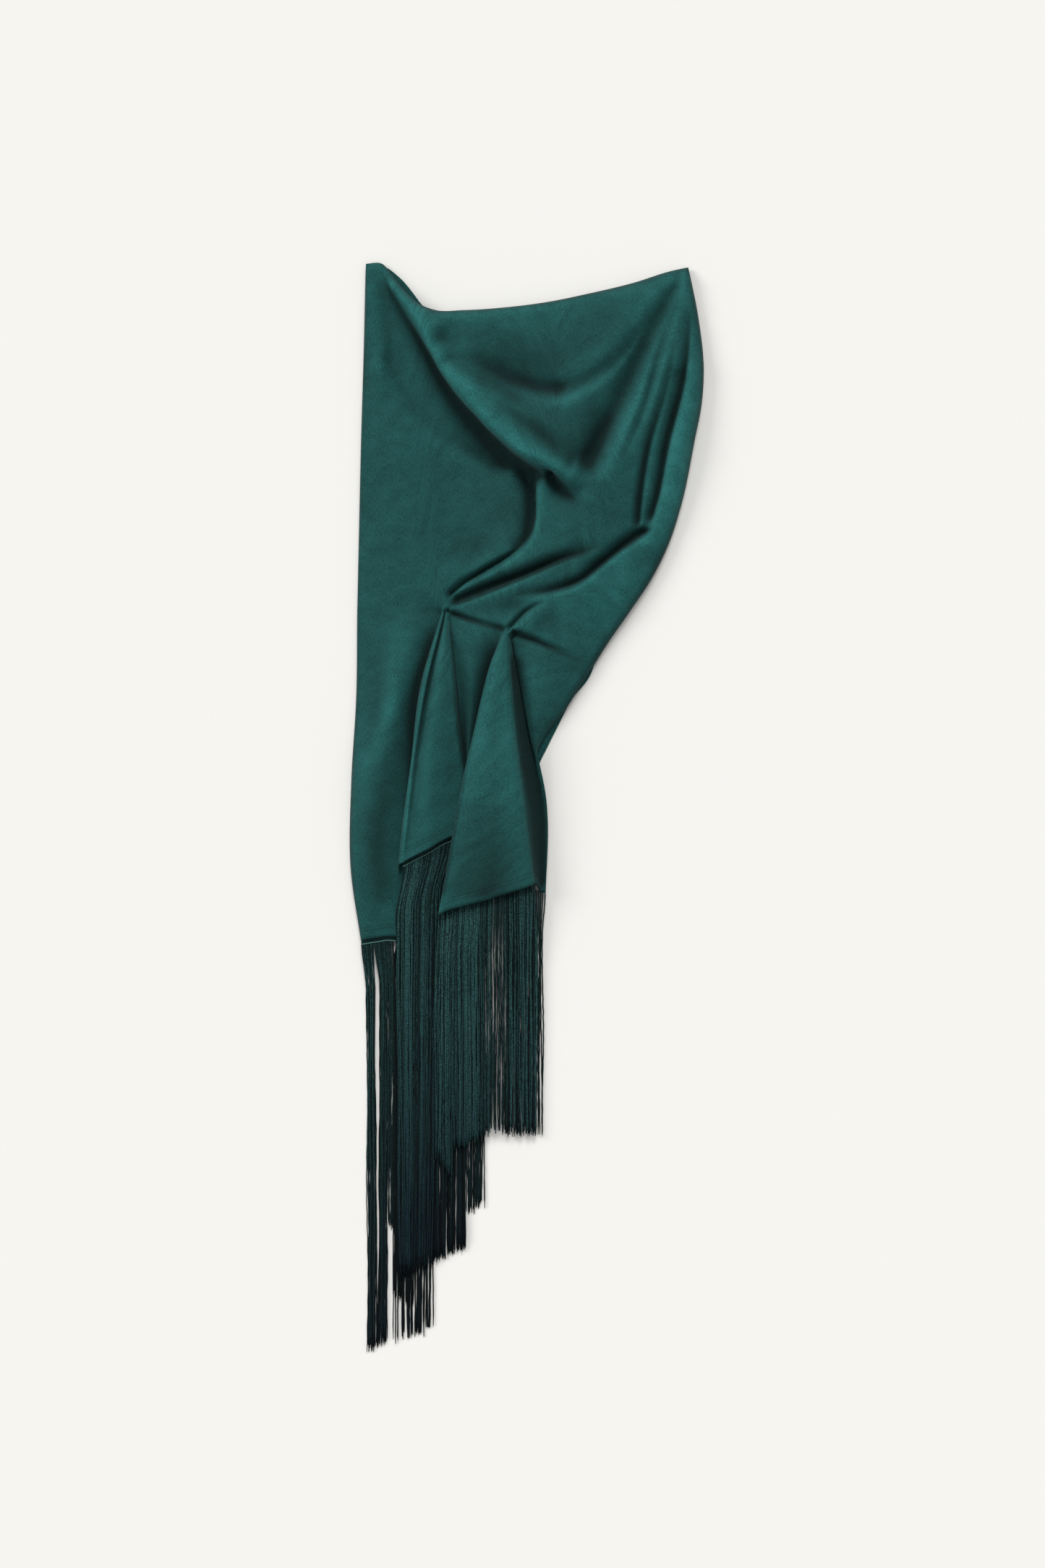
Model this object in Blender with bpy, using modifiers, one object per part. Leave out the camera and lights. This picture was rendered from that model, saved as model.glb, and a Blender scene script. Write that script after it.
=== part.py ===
"""A long-fringed wool scarf, folded in four and laid flat on its back leaf.

Seen from above, +X runs to the right and +Y to the folded top edge; +Z is up.
The origin is on the floor, under the middle of the scarf.
The front leaf is gathered to two pinches, with swags above them and pleats below.
"""

from collections import namedtuple
import math
import random

import bmesh
import bpy
from mathutils import Vector
import numpy as np

MM = 0.001

# Driving sizes
CLOTH_WALL = 1.6 * MM
PLY_WALL = 1.25 * MM
PLY_STEP = 3.5 * MM
OUTLINE_POINTS = 110
TAPE_WALL = 1.2 * MM
TAPE_CLEAR = 0.7
UNEVEN_ENDS = 9.0
EDGE_LOW = 3.4
EDGE_ROLLS = {"top": 9.0, "left": 6.0, "right": 9.0}
EDGE_BLEND = 0.1
LOWEST = 4.6
HIGHEST = 27.0

# Grid of the front leaf before it is thinned out: columns across, rows down to
# the pinches and rows below them
COLUMNS = 130
UPPER_ROWS = 120
LOWER_ROWS = 90
KEEP_TRIANGLES = 2800
SETTLE_PASSES = 3
SETTLE_BELOW = 14
CREASE_RADIUS = 7.0
CREASE_STEP = 7.0
NEAREST_CREASES = 3.5

Crease = namedtuple("Crease", "name start middle end")
Pleat = namedtuple("Pleat", "name u waist upper middle lower hem")
Fringe = namedtuple("Fringe", "name roots ends count tape lie drop spread")

# The top edge of the front leaf, a fold that sags between its two corners (x, y in mm)
TOP_EDGE = (
    (-168, 570), (-152, 570), (-142, 559), (-127, 541), (-113, 528), (-95, 521), (-66, 521),
    (-21, 524), (25, 530), (64, 538), (114, 550), (152, 562), (170, 566),
)

# The two side edges of the front leaf, from the top corners to the height of the pinches
LEFT_EDGE = ((-168, 570), (-170, 480), (-173, 380), (-175, 290), (-177, 202))
RIGHT_EDGE = (
    (170, 566), (180, 516), (186, 459), (184, 425), (177, 388), (162, 316), (149, 276),
    (132, 241), (109, 206), (84, 170), (69, 146),
)

# Swags, rays and creases above the pinches: three points each, x, y and height in mm
CREASES = (
    Crease("left_edge", (-168, 570, 5), (-172, 392, 5), (-177, 202, 5)),
    Crease("top_left", (-168, 570, 5), (-159, 570, 5.5), (-152, 569, 7)),
    Crease("top_dip", (-152, 569, 7), (-130, 542, 11), (-97, 521, 12)),
    Crease("top_right", (-97, 521, 12), (40, 532, 11), (170, 566, 7)),
    Crease("swag_crest_high", (-150, 566, 9), (-114, 492, 19), (-66, 431, 24)),
    Crease("swag_crest_mid", (-66, 431, 24), (-17, 386, 26), (21, 356, 25)),
    Crease("swag_crest_low", (21, 356, 25), (40, 340, 23), (53, 328, 21)),
    Crease("swag_foot_high", (-155, 562, 5), (-124, 485, 5), (-74, 423, 5)),
    Crease("swag_foot_low", (-74, 423, 5), (-24, 377, 4.5), (8, 354, 4.5)),
    Crease("leaf_slope", (-162, 544, 7), (-127, 422, 9), (-36, 354, 8.5)),
    Crease("leaf_flat", (-150, 468, 9), (-127, 316, 9.5), (-127, 209, 8)),
    Crease("leaf_inner", (-97, 377, 9.5), (-66, 323, 10), (-51, 270, 9)),
    Crease("hollow_left", (-10, 360, 8), (4, 331, 11), (-2, 299, 12)),
    Crease("wrap_ridge", (-2, 299, 12), (-44, 259, 13), (-83, 218, 11)),
    Crease("hollow", (10, 350, 4.5), (11, 323, 4.5), (7, 299, 5)),
    Crease("hollow_tail", (7, 299, 5), (-28, 255, 6), (-77, 218, 6)),
    Crease("hollow_right", (17, 343, 12), (16, 323, 14), (13, 304, 14)),
    Crease("second_ridge", (13, 304, 14), (-4, 276, 14), (-73, 223, 11)),
    Crease("deep_crease", (-71, 217, 6), (0, 242, 5), (116, 287, 7)),
    Crease("third_ridge", (-66, 211, 10), (13, 240, 15), (120, 284, 13)),
    Crease("pocket", (-28, 217, 8), (25, 228, 6), (107, 272, 7)),
    Crease("fourth_ridge", (124, 279, 13), (55, 238, 17), (-16, 191, 13)),
    Crease("pucker_floor", (-59, 206, 10), (-28, 206, 11), (-6, 203, 10)),
    Crease("pucker_crease", (-82, 203, 7), (-55, 199, 7), (-25, 188, 8)),
    Crease("side_crease", (-19, 185, 8), (17, 177, 6), (69, 148, 7)),
    Crease("side_panel", (10, 193, 13), (55, 202, 15), (93, 217, 15)),
    Crease("ray_a", (59, 326, 21), (102, 413, 22), (149, 535, 13)),
    Crease("swag_pocket", (48, 361, 17), (91, 415, 17), (155, 554, 9)),
    Crease("upper_swag", (-89, 478, 16), (17, 431, 19), (91, 478, 18)),
    Crease("upper_swag_arm", (91, 478, 18), (124, 517, 15), (158, 553, 10)),
    Crease("upper_trough", (-97, 497, 13), (-21, 459, 11), (19, 445, 12)),
    Crease("upper_panel", (-82, 510, 12.5), (-6, 498, 14), (93, 521, 13)),
    Crease("swag_field", (-36, 422, 20), (17, 392, 19), (55, 384, 19)),
    Crease("trough_b", (87, 343, 13), (116, 415, 12), (158, 536, 9)),
    Crease("ray_b", (99, 345, 17), (129, 431, 19), (162, 544, 11)),
    Crease("trough_c", (119, 331, 9), (129, 388, 10), (154, 468, 12)),
    Crease("ray_c", (124, 301, 12), (135, 355, 14), (160, 453, 14)),
    Crease("rim_crease", (130, 292, 5), (145, 380, 5), (169, 513, 7)),
    Crease("rim_crest", (145, 289, 15), (165, 392, 17), (177, 498, 14)),
    Crease("rim_high", (170, 566, 7), (186, 459, 9), (162, 316, 9)),
    Crease("rim_low", (162, 316, 9), (132, 241, 9), (69, 147, 8)),
    Crease("swag_lip", (23, 337, 10), (44, 317, 10), (64, 316, 11)),
    Crease("centre_high", (32, 293, 14), (70, 301, 14), (101, 316, 13)),
    Crease("centre_low", (-21, 244, 9), (25, 263, 10), (78, 279, 9)),
)

# Fold lines below the pinches, left to right: the share of the cloth's width, then
# x, y and height in mm at five stations from the pinches down to the hem
PLEATS = (
    Pleat("left_edge", 0.0, (-177, 202, 5), (-178, 114, 5), (-183, 27, 9), (-184, -60, 8), (-173, -140, 6)),
    Pleat("left_outer", 0.06, (-148, 202, 7), (-158, 120, 8), (-162, 35, 15), (-164, -57, 11), (-161, -138, 6)),
    Pleat("left_inner", 0.12, (-116, 202, 8), (-136, 122, 14), (-142, 44, 13), (-144, -55, 8), (-149, -136, 6)),
    Pleat("left_tuck", 0.17, (-92, 200, 6), (-114, 124, 4), (-117, 42, 4), (-120, -45, 4.5), (-126, -131, 4.5)),
    Pleat("narrow_left", 0.24, (-88, 203, 8), (-109, 124, 12), (-120, 46, 13), (-128, -14, 12), (-133, -60, 10)),
    Pleat("narrow_roll", 0.25, (-87, 203, 10), (-106, 126, 16), (-118, 51, 17), (-125, -13, 16.5), (-130, -59, 13.5)),
    Pleat("narrow_crease", 0.265, (-86, 202, 7), (-104, 128, 12), (-115, 57, 14.5), (-123, -11, 15.5), (-127, -57, 14)),
    Pleat("middle_panel", 0.33, (-84, 200, 10), (-92, 135, 19), (-97, 73, 20), (-101, 12, 18), (-104, -45, 15)),
    Pleat("middle_slope", 0.40, (-82, 200, 10), (-82, 139, 19), (-77, 80, 17), (-76, 22, 13), (-78, -31, 11)),
    Pleat("middle_edge", 0.43, (-82, 199, 10), (-76, 141, 18), (-71, 80, 15), (-63, 23, 11), (-55, -22, 9.5)),
    Pleat("middle_tuck", 0.45, (-81, 198, 9), (-75, 141, 14), (-69, 80, 11), (-59, 23, 9), (-50, -22, 9)),
    Pleat("hidden_panel", 0.51, (-51, 190, 12), (-55, 145, 13), (-59, 82, 12), (-63, 19, 12), (-65, -45, 12)),
    Pleat("front_foot", 0.57, (-25, 184, 9), (-36, 141, 9), (-51, 84, 11), (-63, 16, 13), (-78, -95, 14)),
    Pleat("front_left", 0.585, (-23, 184, 10), (-39, 143, 16), (-55, 76, 18), (-70, 8, 19), (-91, -111, 17)),
    Pleat("front_roll", 0.61, (-22, 184, 12), (-35, 145, 20), (-50, 79, 22), (-62, 10, 22), (-82, -108, 19)),
    Pleat("front_panel", 0.68, (-20, 182, 13), (-25, 137, 23), (-32, 73, 24), (-32, 4, 24), (-41, -97, 20)),
    Pleat("front_crest", 0.74, (-19, 180, 12), (-17, 130, 20), (-13, 73, 22), (-5, 4, 21), (6, -82, 18)),
    Pleat("front_right", 0.76, (-18, 179, 10), (-14, 127, 16), (-9, 71, 17), (0, 4, 15), (10, -80, 12)),
    Pleat("right_tuck", 0.79, (-15, 174, 6), (-3, 122, 4.5), (7, 73, 4.5), (13, 4, 5), (15, -89, 4.5)),
    Pleat("flap_left", 0.81, (-16, 176, 9), (-5, 122, 9), (4, 76, 9), (18, 4, 5), (18, -90, 4)),
    Pleat("flap_roll", 0.85, (2, 170, 13), (3, 120, 13), (7, 74, 10.5), (20, 4, 4.6), (19, -90, 4)),
    Pleat("right_edge", 1.0, (69, 146, 9), (44, 107, 8), (11, 54, 8), (22, -11, 4), (20, -91, 4)),
)

# Outline of the back leaf; it shows past the front leaf at the top left and at the right
BACK_OUTLINE = (
    (-165, 566), (-152, 567), (-133, 555), (-119, 539), (-110, 527), (-95, 515), (-66, 515),
    (-21, 518), (25, 524), (64, 532), (114, 544), (150, 555), (162, 556), (170, 516),
    (177, 459), (169, 388), (154, 316), (141, 276), (124, 241), (101, 206), (80, 174),
    (65, 134), (49, 114), (34, 86), (21, 60), (13, 43), (11, 20), (13, -40), (12, -80),
    (-40, -90), (-90, -106), (-130, -124), (-166, -132), (-175, -60), (-176, 27), (-173, 114),
    (-172, 202), (-170, 290), (-168, 392), (-166, 480), (-165, 550),
)

# Fringes: the shares of the front leaf's hem that carry the tape, or else the line of
# the roots as x, y and height in mm; the line that the free ends reach; the number of
# strands, the width of the tape, the height at which the strands lie, the length over
# which they come down to it and how far they part into locks
FRINGES = (
    Fringe(
        "fringe_back", ((-132, -132.5, 1.3), (-90, -114.0, 1.3), (-40, -97.0, 1.3), (8, -86.0, 1.3)),
        ((-135, -553), (-101, -541), (-96, -462), (-64, -428), (-45, -412), (10, -352)),
        44, 3.5, 1.0, 60, 1.5,
    ),
    Fringe(
        "fringe_left", (0.0, 0.14),
        ((-169, -570), (-159, -566), (-151, -562), (-140, -558)), 13, 4.5, 1.0, 60, 1.5,
    ),
    Fringe(
        "fringe_middle", (0.265, 0.40),
        ((-132, -496), (-99, -480), (-92, -470), (-66, -452)), 22, 4.5, 2.6, 110, 1.5,
    ),
    Fringe(
        "fringe_front", (0.585, 0.75),
        ((-93, -368), (-79, -390), (-66, -357), (-48, -339), (11, -343)), 38, 3.0, 4.2, 120, 1.5,
    ),
    Fringe(
        "fringe_right", ((13, -90.5, 4.3), (16, -90.9, 4.3), (20.5, -91.5, 4.3)),
        ((14, -343), (21, -345)), 3, 3.0, 1.0, 50, 0,
    ),
)


def clear_scene():
    for item in list(bpy.data.objects):
        bpy.data.objects.remove(item, do_unlink=True)


def smooth_along(points, share):
    """Points on a Catmull-Rom curve through the given ones, at shares of its length."""
    points = np.asarray(points, float)
    spans = np.linalg.norm(np.diff(points, axis=0), axis=1)
    return smooth_between(points, np.concatenate([[0], np.cumsum(spans)]) / spans.sum(), share)


def smooth_between(points, knots, share):
    """Cubic Hermite interpolation of rows of points whose places are the knots."""
    points = np.asarray(points, float)
    knots = np.asarray(knots, float)
    share = np.clip(np.asarray(share, float), knots[0], knots[-1])
    slopes = np.gradient(points, knots, axis=0) if len(knots) > 2 else np.diff(points, axis=0) / np.diff(knots)
    if len(knots) == 2:
        slopes = np.repeat(slopes, 2, axis=0)
    left = np.clip(np.searchsorted(knots, share, side="right") - 1, 0, len(knots) - 2)
    step = knots[left + 1] - knots[left]
    t = ((share - knots[left]) / step)[:, None]
    step = step[:, None]
    return (
        (2 * t**3 - 3 * t**2 + 1) * points[left]
        + (t**3 - 2 * t**2 + t) * step * slopes[left]
        + (3 * t**2 - 2 * t**3) * points[left + 1]
        + (t**3 - t**2) * step * slopes[left + 1]
    )


def ease(value):
    value = np.clip(value, 0, 1)
    return value * value * (3 - 2 * value)


def soft_positive(value, softness=1.0):
    """A smooth stand-in for the larger of the value and zero."""
    return softness * np.logaddexp(0, value / softness)


def crease_points():
    """Sample points along every crease line, without near doubles."""
    kept = []
    for crease in CREASES:
        ends = np.array([crease.start, crease.middle, crease.end], float)
        length = np.linalg.norm(np.diff(ends[:, :2], axis=0), axis=1).sum()
        count = max(3, int(length / CREASE_STEP))
        for point in smooth_between(ends, (0, 0.5, 1), np.linspace(0, 1, count)):
            if all(np.hypot(*(point[:2] - other[:2])) > NEAREST_CREASES for other in kept):
                kept.append(point)
    return np.array(kept)


def height_field():
    """A multiquadric surface through the crease points, as a function of x and y."""
    points = crease_points()
    centres, heights = points[:, :2], points[:, 2]

    def kernel(places):
        gaps = np.linalg.norm(places[:, None, :] - centres[None, :, :], axis=2)
        return np.sqrt(gaps**2 + CREASE_RADIUS**2)

    count = len(points)
    matrix = np.zeros((count + 1, count + 1))
    matrix[:count, :count] = kernel(centres)
    matrix[:count, count] = 1
    matrix[count, :count] = 1
    weights = np.linalg.solve(matrix, np.append(heights, 0))

    def height(places):
        return kernel(places) @ weights[:count] + weights[count]

    return height


def pleat_net(u):
    """The five stations of the lower part for each share of the width: (len(u), 5, 3)."""
    knots = [pleat.u for pleat in PLEATS]
    stations = []
    for station in range(2, 7):
        stations.append(smooth_between([pleat[station] for pleat in PLEATS], knots, u))
    return np.stack(stations, axis=1)


def front_leaf_points():
    """Rows of points of the front leaf, from the top fold to the hem, in mm."""
    u = np.linspace(0, 1, COLUMNS + 1)
    net = pleat_net(u)
    waist = net[:, 0]
    top = smooth_along(TOP_EDGE, u)
    height = height_field()
    rows = []
    for v in np.linspace(0, 1, UPPER_ROWS + 1)[:-1]:
        left = smooth_along(LEFT_EDGE, [v])[0]
        right = smooth_along(RIGHT_EDGE, [v])[0]
        across = (1 - u)[:, None] * left + u[:, None] * right
        down = (1 - v) * top + v * waist[:, :2]
        corners = (1 - v) * ((1 - u)[:, None] * top[0] + u[:, None] * top[-1]) + v * (
            (1 - u)[:, None] * waist[0, :2] + u[:, None] * waist[-1, :2]
        )
        plan = across + down - corners
        lift = LOWEST + soft_positive(height(plan) - LOWEST)
        lift = HIGHEST - soft_positive(HIGHEST - lift)
        near = ease((v - 1 + EDGE_BLEND) / EDGE_BLEND)
        lift = (1 - near) * lift + near * waist[:, 2]
        rows.append(np.column_stack([plan, lift]))
    stations = np.linspace(0, 1, net.shape[1])
    for t in np.linspace(0, 1, LOWER_ROWS + 1):
        flat = smooth_between(net.transpose(1, 0, 2).reshape(net.shape[1], -1), stations, [t])
        rows.append(flat.reshape(-1, 3))
    return settled(np.array(rows))


def settled(points):
    """Evens out the heights above the pinches and a little way below them."""
    rows = np.arange(len(points))
    loose = ease((UPPER_ROWS + SETTLE_BELOW - rows) / SETTLE_BELOW)[:, None]
    heights = points[:, :, 2]
    for _ in range(SETTLE_PASSES):
        wide = np.pad(heights, 1, mode="edge")
        across = (wide[1:-1, :-2] + 2 * wide[1:-1, 1:-1] + wide[1:-1, 2:]) / 4
        wide = np.pad(across, 1, mode="edge")
        down = (wide[:-2, 1:-1] + 2 * wide[1:-1, 1:-1] + wide[2:, 1:-1]) / 4
        heights = heights + loose * (down - heights)
    points[:, :, 2] = heights
    return points


def turned_down(inward, top, low, reach):
    """Height of a rolled edge: a quarter round of the given reach, from low up to top."""
    away = np.clip(1 - inward / reach, 0, 1)
    return low + (top - low) * np.sqrt(1 - away**2)


def turn_edges(points):
    """Rolls the outer edges down to the leaf below, as folds and as a soft turned edge."""
    points = points.copy()
    inward = {}
    inward["top"] = np.linalg.norm(points - points[:1], axis=2)
    inward["left"] = np.linalg.norm(points - points[:, :1], axis=2)
    inward["right"] = np.linalg.norm(points - points[:, -1:], axis=2)
    for side, reach in EDGE_ROLLS.items():
        points[:, :, 2] = turned_down(inward[side], points[:, :, 2], EDGE_LOW, reach)
    return points


def new_object(name, mesh, collection):
    made = bpy.data.objects.new(name, mesh)
    collection.objects.link(made)
    return made


def cloth_material(name, colour, roughness):
    material = bpy.data.materials.new(name)
    material.use_nodes = True
    shader = material.node_tree.nodes["Principled BSDF"]
    shader.inputs["Base Color"].default_value = (*colour, 1)
    shader.inputs["Roughness"].default_value = roughness
    shader.inputs["Metallic"].default_value = 0
    return material


def make_front_leaf(collection, material):
    points = turn_edges(front_leaf_points())
    row_count, column_count = points.shape[:2]
    shape = bmesh.new()
    bmesh.ops.create_grid(shape, x_segments=column_count - 1, y_segments=row_count - 1, size=1)
    ordered = sorted(shape.verts, key=lambda v: (-round(v.co.y, 5), round(v.co.x, 5)))
    for vertex, place in zip(ordered, points.reshape(-1, 3)):
        vertex.co = place * MM
    bmesh.ops.recalc_face_normals(shape, faces=shape.faces)
    mesh = bpy.data.meshes.new("front_leaf")
    shape.to_mesh(mesh)
    shape.free()
    leaf = new_object("front_leaf", mesh, collection)
    triangles = 2 * (row_count - 1) * (column_count - 1)
    thin = leaf.modifiers.new("Thin", "DECIMATE")
    thin.ratio = KEEP_TRIANGLES / triangles
    wall = leaf.modifiers.new("Wall", "SOLIDIFY")
    wall.thickness = CLOTH_WALL
    wall.offset = 0
    mesh.materials.append(material)
    mesh.shade_smooth()
    return leaf


def make_back_leaf(collection, material):
    """The lower leaf: two plies, the upper one set in from the edge of the lower one."""
    shape = bmesh.new()
    corners = smooth_closed(BACK_OUTLINE, OUTLINE_POINTS)
    outline = [shape.verts.new((x * MM, y * MM, 0)) for x, y in corners]
    base = shape.faces.new(outline)
    raised = bmesh.ops.extrude_face_region(shape, geom=[base])["geom"]
    lift(shape, raised, PLY_WALL)
    top = max(shape.faces, key=lambda face: face.calc_center_median().z)
    bmesh.ops.inset_region(shape, faces=[top], thickness=PLY_STEP, use_even_offset=True)
    top = max(shape.faces, key=lambda face: (round(face.calc_center_median().z, 7), face.calc_area()))
    raised = bmesh.ops.extrude_face_region(shape, geom=[top])["geom"]
    shape.faces.remove(top)
    lift(shape, raised, PLY_WALL)
    bmesh.ops.triangulate(shape, faces=shape.faces)
    bmesh.ops.recalc_face_normals(shape, faces=shape.faces)
    mesh = bpy.data.meshes.new("back_leaf")
    shape.to_mesh(mesh)
    shape.free()
    mesh.materials.append(material)
    return new_object("back_leaf", mesh, collection)


def smooth_closed(points, count):
    """Points at even steps along a smooth closed outline."""
    ring = np.array(points[-2:] + points + points[:3], float)
    reach = np.append(0, np.cumsum(np.linalg.norm(np.diff(ring, axis=0), axis=1)))
    places = np.linspace(reach[2], reach[-3], count, endpoint=False)
    return smooth_between(ring, reach, places)


def lift(shape, geom, height):
    moved = [item for item in geom if isinstance(item, bmesh.types.BMVert)]
    bmesh.ops.translate(shape, verts=moved, vec=(0, 0, height))


def root_line(row, count):
    """The tape's upper edge, just clear of the cloth that it is sewn to."""
    if len(row.roots) > 2:
        return smooth_along(row.roots, np.linspace(0, 1, count))
    hem = pleat_net(np.linspace(*row.roots, 200))[:, -1]
    hem[:, 1] -= TAPE_CLEAR
    return smooth_along(hem, np.linspace(0, 1, count))


def end_line(row, count):
    """Where the free ends lie: even steps in x, and y from the row's line of ends."""
    reach = np.array(row.ends, float)
    across = np.linspace(reach[0, 0], reach[-1, 0], count)
    return np.column_stack([across, np.interp(across, reach[:, 0], reach[:, 1])])


def make_fringe(row, collection, material):
    """A tape whose outer side is drawn out into strands at every second cell."""
    rng = random.Random(row.name)
    cells = 2 * row.count - 1
    roots = root_line(row, cells + 1)
    ends = end_line(row, cells + 1)
    shape = bmesh.new()
    bmesh.ops.create_grid(shape, x_segments=cells, y_segments=1, size=1)
    for vertex in shape.verts:
        place = round((vertex.co.x + 1) / 2 * cells)
        outward = row.tape if vertex.co.y < 0 else 0
        x, y, z = roots[place]
        vertex.co = (x * MM, (y - outward) * MM, z * MM - TAPE_WALL / 2)
    whole = bmesh.ops.extrude_face_region(shape, geom=shape.faces[:])["geom"]
    lift(shape, whole, TAPE_WALL)
    bmesh.ops.recalc_face_normals(shape, faces=shape.faces)
    side = [face for face in shape.faces if face.normal.y < -0.7 and abs(face.normal.z) < 0.5]
    side.sort(key=lambda face: face.calc_center_median().x)
    for number, face in enumerate(side[::2]):
        place = 2 * number
        end = (ends[place] + ends[place + 1]) / 2
        draw_strand(shape, face, end, row, number, rng)
    mesh = bpy.data.meshes.new(row.name)
    shape.to_mesh(mesh)
    shape.free()
    mesh.materials.append(material)
    return new_object(row.name, mesh, collection)


def draw_strand(shape, face, end, row, number, rng):
    """Draws one strand out of a face of the tape, down to the floor and to its end."""
    start = face.calc_center_median().copy()
    length = start.y / MM - end[1] + rng.uniform(-1, 0.3) * UNEVEN_ENDS
    low = row.lie + rng.uniform(-0.1, 0.1)
    shares = (row.drop / 3 / length, row.drop / length, 0.6, 1)
    heights = (0.72, 0, 0, 0)
    lock = row.spread * math.sin(number * 0.9)
    for share, height in zip(shares, heights):
        x = start.x / MM * (1 - share) + end[0] * share
        x += lock * math.sin(math.pi * share) * 0.5
        y = start.y / MM - length * share
        z = low + (start.z / MM - low) * height
        centre = face.calc_center_median().copy()
        face = bmesh.ops.extrude_discrete_faces(shape, faces=[face])["faces"][0]
        for vertex in face.verts:
            vertex.co = vertex.co - centre + Vector((x, y, z)) * MM


def main():
    clear_scene()
    scarf = bpy.data.collections.new("scarf")
    bpy.context.scene.collection.children.link(scarf)
    green = cloth_material("wool", (0.016, 0.075, 0.072), 0.85)
    back = cloth_material("wool_under", (0.014, 0.068, 0.066), 0.85)
    yarn = cloth_material("wool_fringe", (0.012, 0.030, 0.028), 0.8)
    make_front_leaf(scarf, green)
    make_back_leaf(scarf, back)
    for row in FRINGES:
        make_fringe(row, scarf, yarn)


main()
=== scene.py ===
# %% [markdown]
# # A long-fringed wool scarf, folded in four
#
# The scarf is one cloth of brushed wool flannel. It is folded once along its length and
# once across it, so that both fringed ends lie at the bottom, and it is laid out flat.
# Two pinches gather the front leaf: loose swags sag above them, and pleats fan out below.
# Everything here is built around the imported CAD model, in metres, with +Z up and the
# floor at zero. The camera looks straight down.

from collections import namedtuple
import math

import bmesh
import bpy
import numpy as np
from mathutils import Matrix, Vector


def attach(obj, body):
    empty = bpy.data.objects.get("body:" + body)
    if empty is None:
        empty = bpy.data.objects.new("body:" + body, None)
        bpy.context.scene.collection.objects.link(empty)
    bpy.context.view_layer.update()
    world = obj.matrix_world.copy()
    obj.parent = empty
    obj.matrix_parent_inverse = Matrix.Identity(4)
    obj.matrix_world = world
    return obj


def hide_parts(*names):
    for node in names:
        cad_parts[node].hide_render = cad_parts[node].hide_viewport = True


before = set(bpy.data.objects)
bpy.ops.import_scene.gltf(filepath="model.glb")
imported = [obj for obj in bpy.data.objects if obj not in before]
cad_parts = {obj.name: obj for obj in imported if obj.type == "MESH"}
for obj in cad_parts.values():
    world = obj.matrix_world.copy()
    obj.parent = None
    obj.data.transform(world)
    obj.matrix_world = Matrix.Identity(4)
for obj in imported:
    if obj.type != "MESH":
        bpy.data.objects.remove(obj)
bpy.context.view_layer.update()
MM = 0.001
print("nodes:", sorted(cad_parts))

# %% [markdown]
# ## Curves through a few points
#
# Every fold here is a smooth curve through three to thirteen places, so one helper serves
# them all. A Bezier curve object could do the same, but a cubic through rows of numbers
# can carry x, y and height at once, for hundreds of folds in one step.

# %% Curve helpers
def smooth_between(points, knots, share):
    """A smooth curve through rows of points that sit at the knots."""
    points = np.asarray(points, float)
    knots = np.asarray(knots, float)
    share = np.clip(np.asarray(share, float), knots[0], knots[-1])
    slopes = np.gradient(points, knots, axis=0)
    left = np.clip(np.searchsorted(knots, share, side="right") - 1, 0, len(knots) - 2)
    step = knots[left + 1] - knots[left]
    t = ((share - knots[left]) / step)[:, None]
    step = step[:, None]
    return (
        (2 * t**3 - 3 * t**2 + 1) * points[left]
        + (t**3 - 2 * t**2 + t) * step * slopes[left]
        + (3 * t**2 - 2 * t**3) * points[left + 1]
        + (t**3 - t**2) * step * slopes[left + 1]
    )


def smooth_along(points, share):
    """The same curve, with its knots spaced by the distance between the points."""
    points = np.asarray(points, float)
    reach = np.append(0, np.cumsum(np.linalg.norm(np.diff(points, axis=0), axis=1)))
    return smooth_between(points, reach / reach[-1], share)


def ease(value):
    """A value from 0 to 1 that starts and ends softly."""
    value = np.clip(value, 0, 1)
    return value * value * (3 - 2 * value)


def soft_positive(value, softness=1.0):
    """A smooth stand-in for the larger of the value and zero."""
    return softness * np.logaddexp(0, value / softness)


# %% [markdown]
# ## Where the front leaf's edges run
#
# The top edge is a fold that sags between the two corners, the left edge is the
# lengthwise fold, and the right edge is the turned side hem. All places are in
# millimetres from the middle of the scarf.

# %% Edges of the front leaf
TOP_EDGE = (
    (-168, 570), (-152, 570), (-142, 559), (-127, 541), (-113, 528), (-95, 521), (-66, 521),
    (-21, 524), (25, 530), (64, 538), (114, 550), (152, 562), (170, 566),
)
LEFT_EDGE = ((-168, 570), (-170, 480), (-173, 380), (-175, 290), (-177, 202))
RIGHT_EDGE = (
    (170, 566), (180, 516), (186, 459), (184, 425), (177, 388), (162, 316), (149, 276),
    (132, 241), (109, 206), (84, 170), (69, 146),
)
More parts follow.
